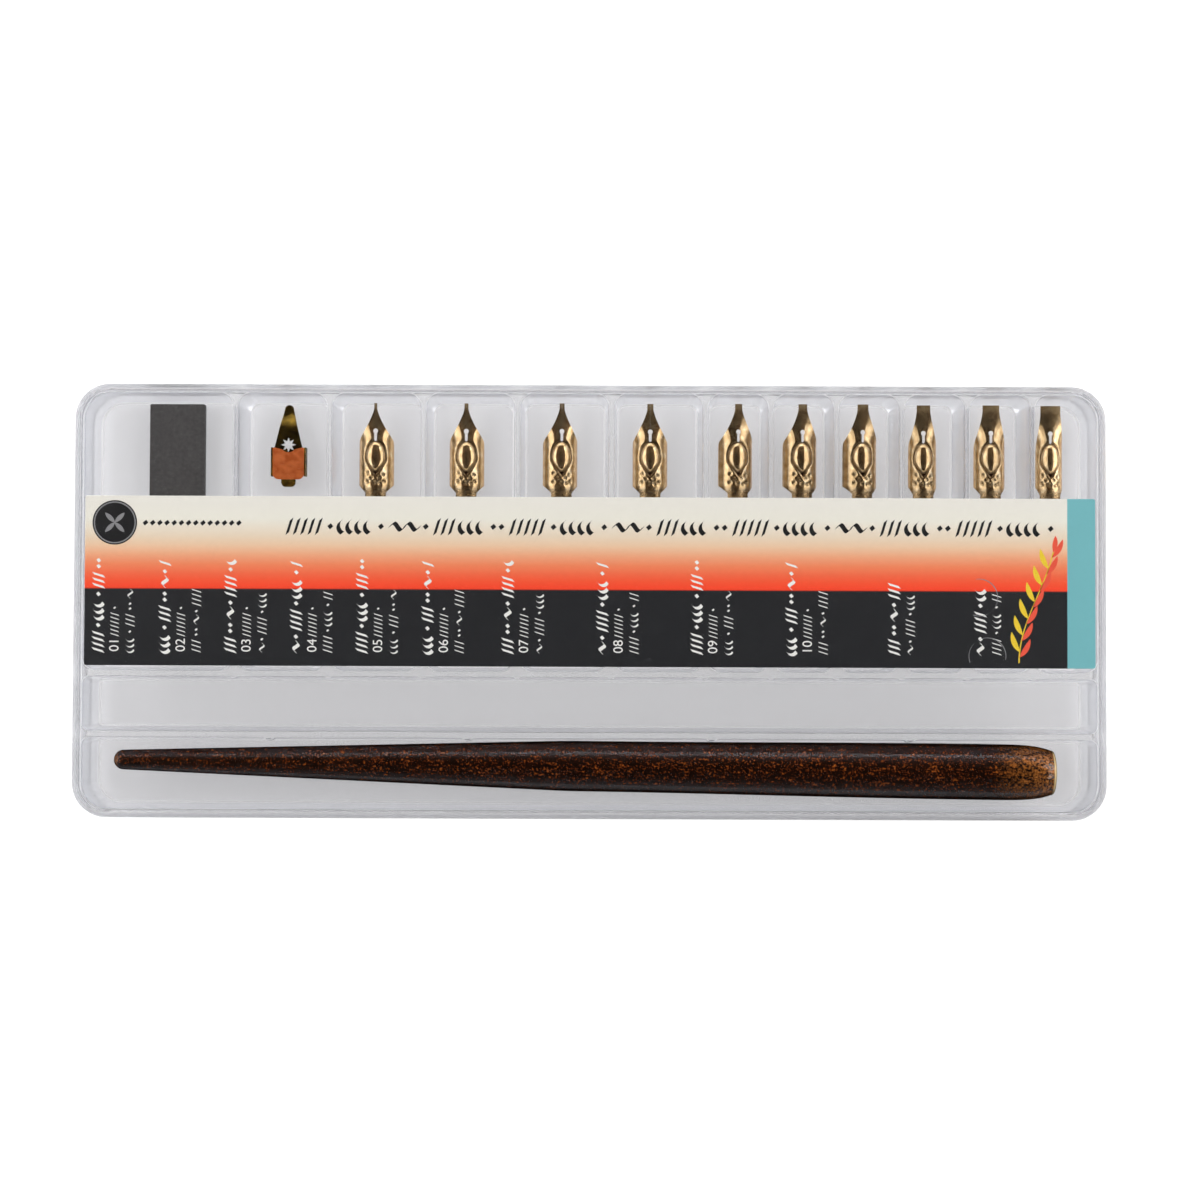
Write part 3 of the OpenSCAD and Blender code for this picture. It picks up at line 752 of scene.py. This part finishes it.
def add_motifs(bm, start, turn, length, size, pen_w, kinds):
    """Groups of plain practice strokes, with a diamond between groups, along a line that is turned
    by an angle. kinds holds each group's stroke and count, over and over until the line is full."""
    pen_angle = math.radians(40)
    rotate = Matrix.Rotation(turn, 2)
    along = 0.0
    for kind, count in itertools.cycle(kinds):
        for _ in range(count):
            path, room = motif_path(kind, size)
            if along + room > length:
                return
            placed = [Vector(start) + rotate @ Vector((along + x, y)) for x, y in path]
            add_stroke(bm, placed, pen_w, pen_angle + turn)
            along += room
        along += 0.25 * size


def add_numeral(bm, text, size, start, turn):
    """Plain figures on the card, size high, turned by an angle."""
    curve = bpy.data.curves.new("figures", "FONT")
    curve.body = text
    curve.size = size / 0.7
    written = new_object("figures", curve)
    mesh = applied_mesh(written)
    mesh.transform(Matrix.Translation((*start, PRINT_Z)) @ Matrix.Rotation(turn, 4, "Z"))
    bm.from_mesh(mesh)
    bpy.data.objects.remove(written)
    bpy.data.curves.remove(curve)
    bpy.data.meshes.remove(mesh)


def finish_print(name, bm, material, over=0.0):
    """One colour of the print, as a thin film of ink on the card, or over a colour below it."""
    bmesh.ops.translate(bm, verts=bm.verts, vec=(0, 0, over))
    bmesh.ops.recalc_face_normals(bm, faces=bm.faces)
    face_up(bm)
    piece = finish_piece(name, bm, material, "lid")
    thicken(piece, INK_T)


def add_leaf(bm, root, turn, length, width, curl):
    """A pointed leaf that grows from its root and curls to one side."""
    steps = 14
    pairs = []
    for i in range(steps + 1):
        share = i / steps
        angle = turn + curl * share
        half = width / 2 * math.sin(math.pi * min(share, 0.995)) ** 0.8 + 0.02
        middle = Vector(root) + length * share * Vector((math.cos(turn + curl * share / 2),
                                                         math.sin(turn + curl * share / 2)))
        across = half * Vector((-math.sin(angle), math.cos(angle)))
        pairs.append((middle - across, middle + across))
    add_ribbon(bm, pairs)


def add_disc(bm, x, y, radius):
    """A plain round spot of ink."""
    bm.faces.new([bm.verts.new((*point, PRINT_Z)) for point in arc(x, y, radius, 0, 360, 48)[:-1]])


def make_print(white, dark, yellow, coral, grey):
    """The print: bay numbers with pen practice strokes, a row of dark strokes, a disc and a sprig.
    The numbers run the other way from the bays, because this card serves the case either way round."""
    quarter = math.radians(90)
    line_y = -9.5
    strokes = [("slant", 4), ("diamond", 1), ("crescent", 3), ("diamond", 1), ("slant", 3),
               ("diamond", 2), ("wave", 1), ("diamond", 1)]
    columns = [-(left + right) / 2 for left, right in reversed(bay_edges())]
    aside = {10: 1.5, 11: -5.5}
    bm = bmesh.new()
    for i, x in enumerate(columns):
        at = x + aside.get(i, 0.0)
        start = i % 4 * 2
        kinds = strokes[start:] + strokes[:start]
        narrow = i < 10
        add_motifs(bm, (at - 1.5, line_y), quarter, 17.8 if narrow else 13.5, 2.0, 0.66, kinds)
        if narrow:
            add_numeral(bm, f"{i + 1:02d}", 1.75, (at + 1.25, line_y), quarter)
            add_motifs(bm, (at + 1.25, -6.6), quarter, 6.4, 1.5, 0.3, [("slant", 6), ("diamond", 1)])
        thin = kinds[2:] + kinds[:2]
        add_motifs(bm, (at + (4.15 if narrow else 1.3), line_y), quarter, 12.0, 1.65, 0.32, thin)
    finish_print("print_white", bm, white)

    bm = bmesh.new()
    row = [("slant", 5), ("diamond", 1), ("crescent", 4), ("diamond", 1), ("wave", 2), ("diamond", 1),
           ("slant", 3), ("crescent", 3), ("diamond", 2)]
    add_motifs(bm, (-55.7, 12.3), 0.0, 141.5, 2.7, 0.85, row)
    add_motifs(bm, (-82.2, 13.0), 0.0, 19.4, 2.4, 0.85, [("diamond", 40)])
    disc_x, disc_y = -87.4, 14.25
    add_disc(bm, disc_x, disc_y, 4.1)
    finish_print("print_dark", bm, dark)

    bm = bmesh.new()
    ring = arc(disc_x, disc_y, 3.75, 0, 360, 64)
    for here, there in zip(ring, ring[1:]):
        add_stroke(bm, [here, there], 0.22, math.atan2(here[1] - disc_y, here[0] - disc_x))
    for i in range(4):
        add_leaf(bm, (disc_x, disc_y), math.radians(45 + 90 * i), 2.5, 0.8, 0.0)
    for start, turn in (((71.5, 1.0), 100), ((73.0, -9.8), 200)):
        add_stroke(bm, arc(*start, 3.4, turn, -210, 30), 0.16, math.radians(40))
    finish_print("print_grey", bm, grey, INK_T)

    stem = [(82.2 - 3.4 * math.cos(i / 20 * 2.6), -11.0 + 1.02 * i) for i in range(21)]
    bm = bmesh.new()
    add_stroke(bm, stem, 0.3, math.radians(30))
    for i in range(2, 20, 3):
        add_leaf(bm, stem[i], math.radians(128), 3.9, 0.95, math.radians(-32))
    finish_print("print_yellow", bm, yellow)

    bm = bmesh.new()
    for i in range(1, 20, 3):
        add_leaf(bm, stem[i], math.radians(42), 3.9, 0.95, math.radians(34))
    add_leaf(bm, stem[20], math.radians(72), 3.0, 0.9, math.radians(20))
    finish_print("print_coral", bm, coral)


# Nibs


def spaced(start, stop, step):
    """Evenly spaced values from start up to stop, without stop."""
    count = max(1, round((stop - start) / step))
    return [start + (stop - start) * i / count for i in range(count)]


def smooth(t):
    """A soft step from 0 to 1."""
    t = min(1.0, max(0.0, t))
    return t * t * (3 - 2 * t)


def nib_half_width(s, tip_w, body_w):
    """Half the nib's width at s behind the writing edge, with a softly rounded shoulder."""
    if s <= TIP_RUN:
        return tip_w / 2
    if s <= WAIST_AT:
        share = (s - TIP_RUN) / (SHOULDER_AT - TIP_RUN)
        flare = tip_w / 2 + (body_w - tip_w) / 2 * share ** 1.35
        return (flare + body_w / 2 - math.hypot(flare - body_w / 2, 0.2)) / 2
    neck = min(1.0, (s - WAIST_AT) / NECK_RUN)
    return body_w / 2 - (body_w - SHANK_W) / 2 * neck


def nib_bend_r(s, body_w):
    """Radius that the sheet is bent to at s: nearly flat at the tip, half-round in the body."""
    body_r = body_w / 2 + BEND_OVER
    if s <= WAIST_AT:
        flat, bent = 1 / TIP_BEND_R, 1 / body_r
        return 1 / (flat + (bent - flat) * smooth((s - 1.5) / (SHOULDER_AT - 1.0)))
    neck = min(1.0, (s - WAIST_AT) / NECK_RUN)
    return body_r + (SHANK_BEND_R - body_r) * neck


def opening_half(s):
    """Half the width of the slit, and of the vent behind it, at s."""
    head_r = VENT_W / 2
    stem_half = VENT_STEM_W / 2
    stem_end = VENT_AT + VENT_STEM - stem_half
    if s < VENT_AT - head_r:
        return SLIT_HALF
    head = math.sqrt(max(0.0, head_r ** 2 - (s - VENT_AT) ** 2))
    if s <= VENT_AT:
        return max(SLIT_HALF, head)
    if s <= stem_end:
        return max(stem_half, head)
    return math.sqrt(max(0.0, stem_half ** 2 - (s - stem_end) ** 2))


def nib_relief(s, u):
    """Height of the stamped relief at s and at the distance u round the bend, and how far that place is
    darkened, from 0 to 1: by how deep in a groove it lies, and by painted shade near the writing edge
    and at the neck."""
    back = (s - OVAL_AT) / (OVAL_LEN / 2)
    half_w = OVAL_W / 2 * (1 - 0.42 * smooth(back) ** 1.5)
    q = math.hypot(back, u / half_w)
    dome = OVAL_H * max(0.0, 1 - q * q) ** 0.6
    groove = math.exp(-((q - 1.1) / 0.12) ** 2)
    tail = math.exp(-(u / 0.24) ** 2) * smooth((s - 12.6) / 0.5) * smooth((14.2 - s) / 0.8)
    dimples = sum(math.exp(-((u - across) ** 2 + (s - at) ** 2) / DIMPLE_R ** 2)
                  for across, at in DIMPLES) if s > 12 else 0.0
    # Painted shade: the colour is darkened at the neck and towards the writing edge.
    stained = max(0.65 * smooth((s - WAIST_AT + 0.2) / NECK_RUN), 0.35 * smooth((5.0 - s) / 2))
    depth = min(1.0, max(stained, 0.95 * groove + 0.85 * tail + 0.75 * dimples))
    return dome - 0.16 * groove - 0.12 * tail - 0.18 * dimples, depth


def nib_rows():
    """Places along the nib, close together where its outline or its relief changes."""
    head_r = VENT_W / 2
    stem_half = VENT_STEM_W / 2
    stem_end = VENT_AT + VENT_STEM - stem_half
    head = [VENT_AT - head_r * math.cos(math.radians(12 * i)) for i in range(12)]
    end = [stem_end + stem_half * math.sin(math.radians(15 * i)) for i in range(7)]
    return (spaced(0.0, VENT_AT - head_r, 0.22) + head + spaced(head[-1] + 0.08, stem_end, 0.15)
            + end + spaced(end[-1] + 0.12, WAIST_AT, 0.12) + spaced(WAIST_AT, WAIST_AT + NECK_RUN, 0.15)
            + spaced(WAIST_AT + NECK_RUN, NIB_LEN, 1.0) + [NIB_LEN])


def make_nib(node, tip_w, roll, material):
    """A broad pen nib: a thin stamped sheet with its slit, vent, raised oval and half-round shank."""
    low, high = corners(node)
    body_w = high.x - low.x
    bm = bmesh.new()
    # How dark each point is coloured: groove depth, and painted shade near the writing edge and at the
    # neck.
    groove_depth_and_painted_shade = bm.verts.layers.float.new("groove_depth_and_painted_shade")
    columns = 34
    rows = []
    for s in nib_rows():
        bend_r = nib_bend_r(s, body_w)
        inner = math.asin(opening_half(s) / bend_r)
        outer = math.asin(min(0.995, nib_half_width(s, tip_w, body_w) / bend_r))
        dip = TIP_DIP * max(0.0, 1 - s / SHOULDER_AT) ** 2
        turn = Matrix.Rotation(math.radians(roll * smooth(TIP_ROLL + s / ROLL_RUN)), 3, "Y")
        row = []
        for side in (-1, 1):
            for k in range(columns + 1):
                share = 1 - k / columns if side < 0 else k / columns
                angle = side * (inner + (outer - inner) * share)
                rise, depth = nib_relief(s, bend_r * angle)
                reach = bend_r + rise
                vert = bm.verts.new(turn @ Vector((reach * math.sin(angle), -s,
                                                   reach * math.cos(angle) - bend_r - dip)))
                vert[groove_depth_and_painted_shade] = depth
                row.append(vert)
        rows.append(row)
    for front, rear in zip(rows, rows[1:]):
        for k in range(2 * columns + 1):
            if k != columns:
                bm.faces.new((front[k], rear[k], rear[k + 1], front[k + 1]))
    bmesh.ops.remove_doubles(bm, verts=bm.verts, dist=0.001)
    lift = low.z + REST_AIR - min(v.co.z for v in bm.verts)
    place = Matrix.Translation(Vector(((low.x + high.x) / 2, high.y, lift)) * MM)
    piece = finish_piece(node + "_sheet", bm, material, "base", [node], place)
    thicken(piece, SHEET_T)


# Magnet strip and reservoir


def make_magnet(material):
    """The magnet strip: cut from sheet, so its edges are square and only just broken."""
    low, high = corners("magnet_strip")
    path = filleted([(INWARD, high.z, 0.0), (0.0, high.z, 0.12), (0.0, low.z + REST_AIR, 0.05),
                     (INWARD, low.z + REST_AIR, 0.0)], steps=3)
    x, y = (low.x, high.x), (low.y, high.y)
    make_block("magnet", path, lambda inset: rounded_outline(x, y, (0.3,) * 4, inset),
               material, "base", "magnet_strip")


def make_reservoir(brass, copper):
    """The slip-on reservoir: a brass tongue with a star hole, and a copper plate between ears."""
    low, high = corners("reservoir")
    place = Matrix.Translation(Vector(((low.x + high.x) / 2 + 0.2, high.y, low.z)) * MM)
    plate_top = EAR_H + PLATE_ON

    def height(y):
        """Height of the sheet's upper side at y, with the tongue's tip at 0."""
        if y > -TONGUE_LEN:
            return TIP_Z + (EAR_H - TIP_Z) * smooth((-y - 1.3) / 3.2)
        back = -y - TONGUE_LEN - PLATE_LEN
        return EAR_H - 0.5 * smooth(max(0.0, back) / LUG_LEN)

    def half_width(y):
        """Half the tongue's width at y."""
        tip_r = TONGUE_END_W / 2
        if y > -tip_r:
            return math.sqrt(max(0.0, tip_r ** 2 - (y + tip_r) ** 2))
        share = (-y - tip_r) / (TONGUE_LEN - tip_r)
        return tip_r + (TONGUE_W / 2 - tip_r) * share

    def finish_sheet(name, bm, metal):
        """Makes one of the reservoir's sheets a piece, with its thickness."""
        piece = finish_piece(name, bm, metal, "base", ["reservoir"], place)
        thicken(piece, RESERVOIR_T)

    bm = bmesh.new()
    star_y = -TONGUE_LEN + 0.25
    star = []
    for i in range(16):
        radius = STAR_R if i % 2 == 0 else STAR_R / 2
        turn = math.radians(22.5 * i)
        star.append((radius * math.sin(turn), star_y + radius * math.cos(turn)))
    rim_y = [0.0] + [-TONGUE_END_W / 2 * (1 - math.cos(math.radians(15 * i))) for i in range(1, 7)]
    rim_y += [-y for y in spaced(TONGUE_END_W / 2 + 0.4, TONGUE_LEN + 1.5, 0.4)]
    side = [(half_width(y), y) for y in rim_y]
    outline = side + [(-x, y) for x, y in reversed(side[1:])]
    loops = []
    for ring in (outline, star):
        verts = [bm.verts.new((x, y, height(y))) for x, y in ring]
        for a, b in zip(verts, verts[1:] + verts[:1]):
            loops.append(bm.edges.new((a, b)))
    bmesh.ops.triangle_fill(bm, use_beauty=True, edges=loops, normal=(0, 0, 1))
    bmesh.ops.subdivide_edges(bm, edges=bm.edges, cuts=2, use_grid_fill=True)
    for vert in bm.verts:
        vert.co.z = height(vert.co.y)
    face_up(bm)
    finish_sheet("reservoir_tongue", bm, brass)

    bm = bmesh.new()
    front, rear = -TONGUE_LEN - 0.25, -TONGUE_LEN - PLATE_LEN
    outline = rounded_outline((-PLATE_W / 2 + 0.35, PLATE_W / 2 - 0.35), (rear, front),
                              (1.1, 1.1, 0.3, 0.3))
    notch = arc(0.0, star_y, STAR_R, -38, -104, 8)
    split = 3 * (CORNER_STEPS + 1)
    bm.faces.new(add_ring(bm, outline[:split] + notch + outline[split:], plate_top))
    finish_sheet("reservoir_plate", bm, copper)

    bm = bmesh.new()
    angles = [math.radians(a) for a in (90, 70, 50, 30, 0)]
    for sign in (-1, 1):
        edge = sign * PLATE_W / 2
        rows = []
        for y in spaced(front, rear, 0.5) + [rear + 0.6]:
            bend = [(edge - sign * EAR_BEND_R * math.cos(a), y,
                     plate_top - EAR_BEND_R + EAR_BEND_R * math.sin(a)) for a in angles]
            rows.append([bm.verts.new(point) for point in bend + [(edge - sign * 0.1, y, 0.1)]])
        for near, far in zip(rows, rows[1:]):
            for k in range(len(near) - 1):
                bm.faces.new((near[k], near[k + 1], far[k + 1], far[k]))
    lug = rounded_outline((-LUG_W / 2, LUG_W / 2), (rear - LUG_LEN, rear + 0.8), (0.8, 0.8, 0.2, 0.2))
    bm.faces.new([bm.verts.new((x, y, height(y))) for x, y in lug])
    bmesh.ops.recalc_face_normals(bm, faces=bm.faces)
    finish_sheet("reservoir_ears", bm, brass)


# Penholder


def shaft_r(z):
    """Radius of the shaft at z from the tail."""
    if z <= TAIL_R:
        return math.sqrt(max(0.0, TAIL_R ** 2 - (TAIL_R - z) ** 2))
    if z <= TAPER_LEN:
        return TAIL_R + (TAPER_END_R - TAIL_R) * (z - TAIL_R) / (TAPER_LEN - TAIL_R)
    if z <= BELLY_AT:
        swell = (1 - math.cos(math.pi * (z - TAPER_LEN) / (BELLY_AT - TAPER_LEN))) / 2
        return TAPER_END_R + (BELLY_R - TAPER_END_R) * swell
    return BELLY_R - (BELLY_R - MOUTH_R) * ((z - BELLY_AT) / (PEN_LEN - BELLY_AT)) ** 5


def pen_place():
    """Where the penholder lies: local Z runs from its tail to its mouth."""
    pitch = math.asin((BELLY_R - TAPER_END_R) / (BELLY_AT - TAPER_LEN))
    tail = Vector((
        -INNER_X + PEN_TAIL_GAP,
        (TROUGH_Y[0] + TROUGH_Y[1]) / 2 + PEN_SHIFT + BELLY_AT * math.sin(PEN_YAW),
        FLOOR_Z + PEN_GAP + BELLY_R - BELLY_AT * math.sin(pitch),
    ))
    turn = Matrix.Rotation(-PEN_YAW, 4, "Z") @ Matrix.Rotation(math.radians(90) - pitch, 4, "Y")
    return Matrix.Translation(tail * MM) @ turn


def make_shaft(material):
    """The turned shaft, with its rounded tail, swelling grip and bored mouth."""
    bm = bmesh.new()
    tail = [TAIL_R * (1 - math.cos(math.radians(9 * i))) for i in range(1, 11)]
    body = spaced(TAIL_R + 2.0, BELLY_AT, 2.5) + spaced(BELLY_AT, PEN_LEN - MOUTH_ROUND, 0.7)
    profile = [(shaft_r(z), z) for z in tail + body]
    rim_r = shaft_r(PEN_LEN - MOUTH_ROUND)
    profile += [(rim_r - MOUTH_ROUND + x, PEN_LEN - MOUTH_ROUND + y)
                for x, y in arc(0.0, 0.0, MOUTH_ROUND, 0, 90, 6)]
    profile += [(BORE_R + 0.1, PEN_LEN), (BORE_R, PEN_LEN - 0.1), (BORE_R, PEN_LEN - BORE_LEN)]
    sides = 72
    rings = [[bm.verts.new((r * math.cos(math.tau * i / sides), r * math.sin(math.tau * i / sides), z))
              for i in range(sides)] for r, z in profile]
    skin(bm, rings)
    point = bm.verts.new((0.0, 0.0, 0.0))
    for a, b in zip(rings[0], rings[0][1:] + rings[0][:1]):
        bm.faces.new((point, b, a))
    bm.faces.new(rings[-1])
    bmesh.ops.recalc_face_normals(bm, faces=bm.faces)
    piece = finish_piece("shaft", bm, material, "penholder", ["penholder_shaft"],
                         pen_place())
    piece.data.set_sharp_from_angle(angle=math.radians(40))


def dress_ferrule(brass, steel):
    """The sleeve and the claws keep their CAD shape and get their metals."""
    for node, material in (("ferrule_sleeve", brass), ("ferrule_claws", steel)):
        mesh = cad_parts[node].data
        mesh.materials.clear()
        mesh.materials.append(material)


# Camera, light and table


def make_camera():
    """Almost straight above the case, a little in front of its middle and tilted to match."""
    lens = bpy.data.cameras.new("camera")
    lens.lens = LENS
    lens.sensor_width = 36.0
    lens.clip_start = 0.01
    camera = new_object("camera", lens)
    camera.location = Vector((CAMERA_X, CAMERA_Y, LIP_TOP + CAMERA_ABOVE_LIP)) * MM
    camera.rotation_euler = (CAMERA_TILT, 0.0, CAMERA_ROLL)
    bpy.context.scene.camera = camera


def add_softbox(name, place, width, height, radiance):
    """A soft rectangular lamp that faces the case's middle."""
    data = bpy.data.lights.new(name, "AREA")
    data.shape = "RECTANGLE"
    data.size = width
    data.size_y = height
    data.energy = radiance * math.pi * width * height
    lamp = new_object(name, data)
    lamp.location = place
    lamp.rotation_euler = (-Vector(place)).to_track_quat("-Z", "Y").to_euler()
    return lamp


def make_light():
    """Softboxes to the left, the right and behind, in a studio that is pale low down and dark
    overhead, with a pale backdrop past the table's edge. What lies inside the clear case also
    mirrors the dark front, where the photographer stands. Returns the lamps."""
    lamps = [
        add_softbox("softbox_left", (-0.62, 0.1, 0.4), 0.95, 0.4, SIDE_GLOW),
        add_softbox("softbox_right", (0.62, 0.1, 0.4), 0.95, 0.4, SIDE_GLOW),
        add_softbox("softbox_behind", (0.0, 0.66, 0.24), 1.1, 0.24, REAR_GLOW),
    ]
    world = bpy.data.worlds.new("studio")
    bpy.context.scene.world = world
    world.use_nodes = True
    tree = world.node_tree
    tree.nodes.clear()
    direction = add_node(tree, "TexCoord").outputs["Generated"]
    axes = add_node(tree, "SeparateXYZ", links={0: direction}).outputs
    sky = add_node(tree, "ValToRGB", links={"Fac": axes["Z"]})
    set_ramp(sky, [(0.0, (0.75, 0.75, 0.76, 1)), (0.45, (0.72, 0.72, 0.74, 1)),
                   (0.74, (0.2, 0.18, 0.17, 1)), (0.84, (0.085, 0.05, 0.03, 1)),
                   (0.94, (0.05, 0.03, 0.018, 1)), (0.97, (0.012, 0.011, 0.01, 1))])
    front = add_node(tree, "MapRange",
                     {"From Min": -0.55, "From Max": -0.1, "To Min": 0.12, "To Max": 1.0},
                     {"Value": axes["Y"]}, interpolation_type="SMOOTHSTEP")
    path = add_node(tree, "LightPath").outputs
    inside = add_node(tree, "Math", {1: 0.5}, {0: path["Transmission Depth"]}, operation="GREATER_THAN")
    shade = add_node(tree, "Mix", links={"Factor": inside, "A": sky, "B": front}, **TIMES)
    glow = add_node(tree, "Background", links={"Color": shade})
    backdrop = add_node(tree, "Background", {"Color": linear("#ececed")})

    # The softboxes do not light the lid, so what lies below it cannot mirror them through it. It
    # mirrors a patch of the surroundings at each lamp's place instead: a middle and a half width,
    # counted along the lamp for each unit towards it, and a middle and a half height on the sky.
    # A ray to what lies below the lid passes its two sides, and a third surface on its way out.
    below_lid = add_node(tree, "Math", {1: 2.5}, {0: path["Transmission Depth"]},
                         operation="GREATER_THAN")
    mirrored = add_node(tree, "Math", links={0: below_lid, 1: path["Is Glossy Ray"]},
                        operation="MULTIPLY")
    aside = add_node(tree, "Math", links={0: axes["X"]}, operation="ABSOLUTE")
    for along, towards, middle, half_w, height, half_h, radiance in (
            (axes["Y"], aside, 0.16, 0.77, 0.52, 0.217, SIDE_GLOW),
            (axes["X"], axes["Y"], 0.0, 0.83, 0.337, 0.158, REAR_GLOW)):
        ratio = add_node(tree, "Math", links={0: along, 1: towards}, operation="DIVIDE")
        across = add_node(tree, "Math", {1: middle, 2: half_w}, {0: ratio}, operation="COMPARE")
        level = add_node(tree, "Math", {1: height, 2: half_h}, {0: axes["Z"]}, operation="COMPARE")
        ahead = add_node(tree, "Math", {1: 0.0}, {0: towards}, operation="GREATER_THAN")
        strength = mirrored
        for share in (across, level, ahead):
            strength = add_node(tree, "Math", links={0: strength, 1: share}, operation="MULTIPLY")
        strength = add_node(tree, "Math", {1: radiance}, {0: strength}, operation="MULTIPLY")
        patch = add_node(tree, "Background", {"Color": linear("#ffffff")}, {"Strength": strength})
        glow = add_node(tree, "AddShader", links={0: glow, 1: patch})
    seen = add_node(tree, "MixShader", links={0: path["Is Camera Ray"], 1: glow, 2: backdrop})
    add_node(tree, "OutputWorld", links={"Surface": seen})
    bpy.context.scene.view_settings.view_transform = "Standard"
    return lamps


def keep_off(piece, lamps):
    """Keeps the lamps off a piece, so that their glare on it does not hide what lies below it."""
    spared = bpy.data.collections.new("not_lit_by_softboxes")
    spared.objects.link(piece)
    spared.collection_objects[0].light_linking.link_state = "EXCLUDE"
    for lamp in lamps:
        lamp.light_linking.receiver_collection = spared


def make_table(material):
    """A plain pale table under the case."""
    mesh = bpy.data.meshes.new("table")
    half = 3.0
    under = -0.00005
    mesh.from_pydata([(-half, -half, under), (half, -half, under), (half, half, under),
                      (-half, half, under)], [], [(0, 1, 2, 3)])
    mesh.materials.append(material)
    new_object("table", mesh)


make_camera()
softboxes = make_light()
make_table(pale_table())

make_tray(clear_polystyrene("clear_polystyrene_moulded_satin", "#dadadd", 0.06, 0.13))
lid = make_lid(clear_polystyrene("clear_polystyrene_moulded_polished", "#fefefe", 0.0, 0.02))
keep_off(lid, softboxes)
make_card(printed_card())
make_print(
    printing_ink("ink_white", "#f2f2ee"),
    printing_ink("ink_dark", "#18181a"),
    printing_ink("ink_yellow", "#f0cf3a"),
    printing_ink("ink_coral", "#ee5a44"),
    printing_ink("ink_grey", "#8a8a8c"),
)
make_magnet(ferrite_rubber())
make_reservoir(
    sheet_metal("brass_sheet_tumbled", "#3a2c10", "#745c22", 0.25),
    sheet_metal("copper_sheet_tumbled", "#b3582c", "#d0713f", 0.5),
)
bronze = bronzed_steel()
for nib_node, writing_w, rolled in NIBS:
    make_nib(nib_node, writing_w, rolled, bronze)
make_shaft(lacquered_hardwood())
dress_ferrule(
    sheet_metal("brass_tube_drawn", "#a98a48", "#cdb070", 0.25),
    sheet_metal("spring_steel_sheet", "#8c8c8c", "#b4b4b4", 0.3),
)
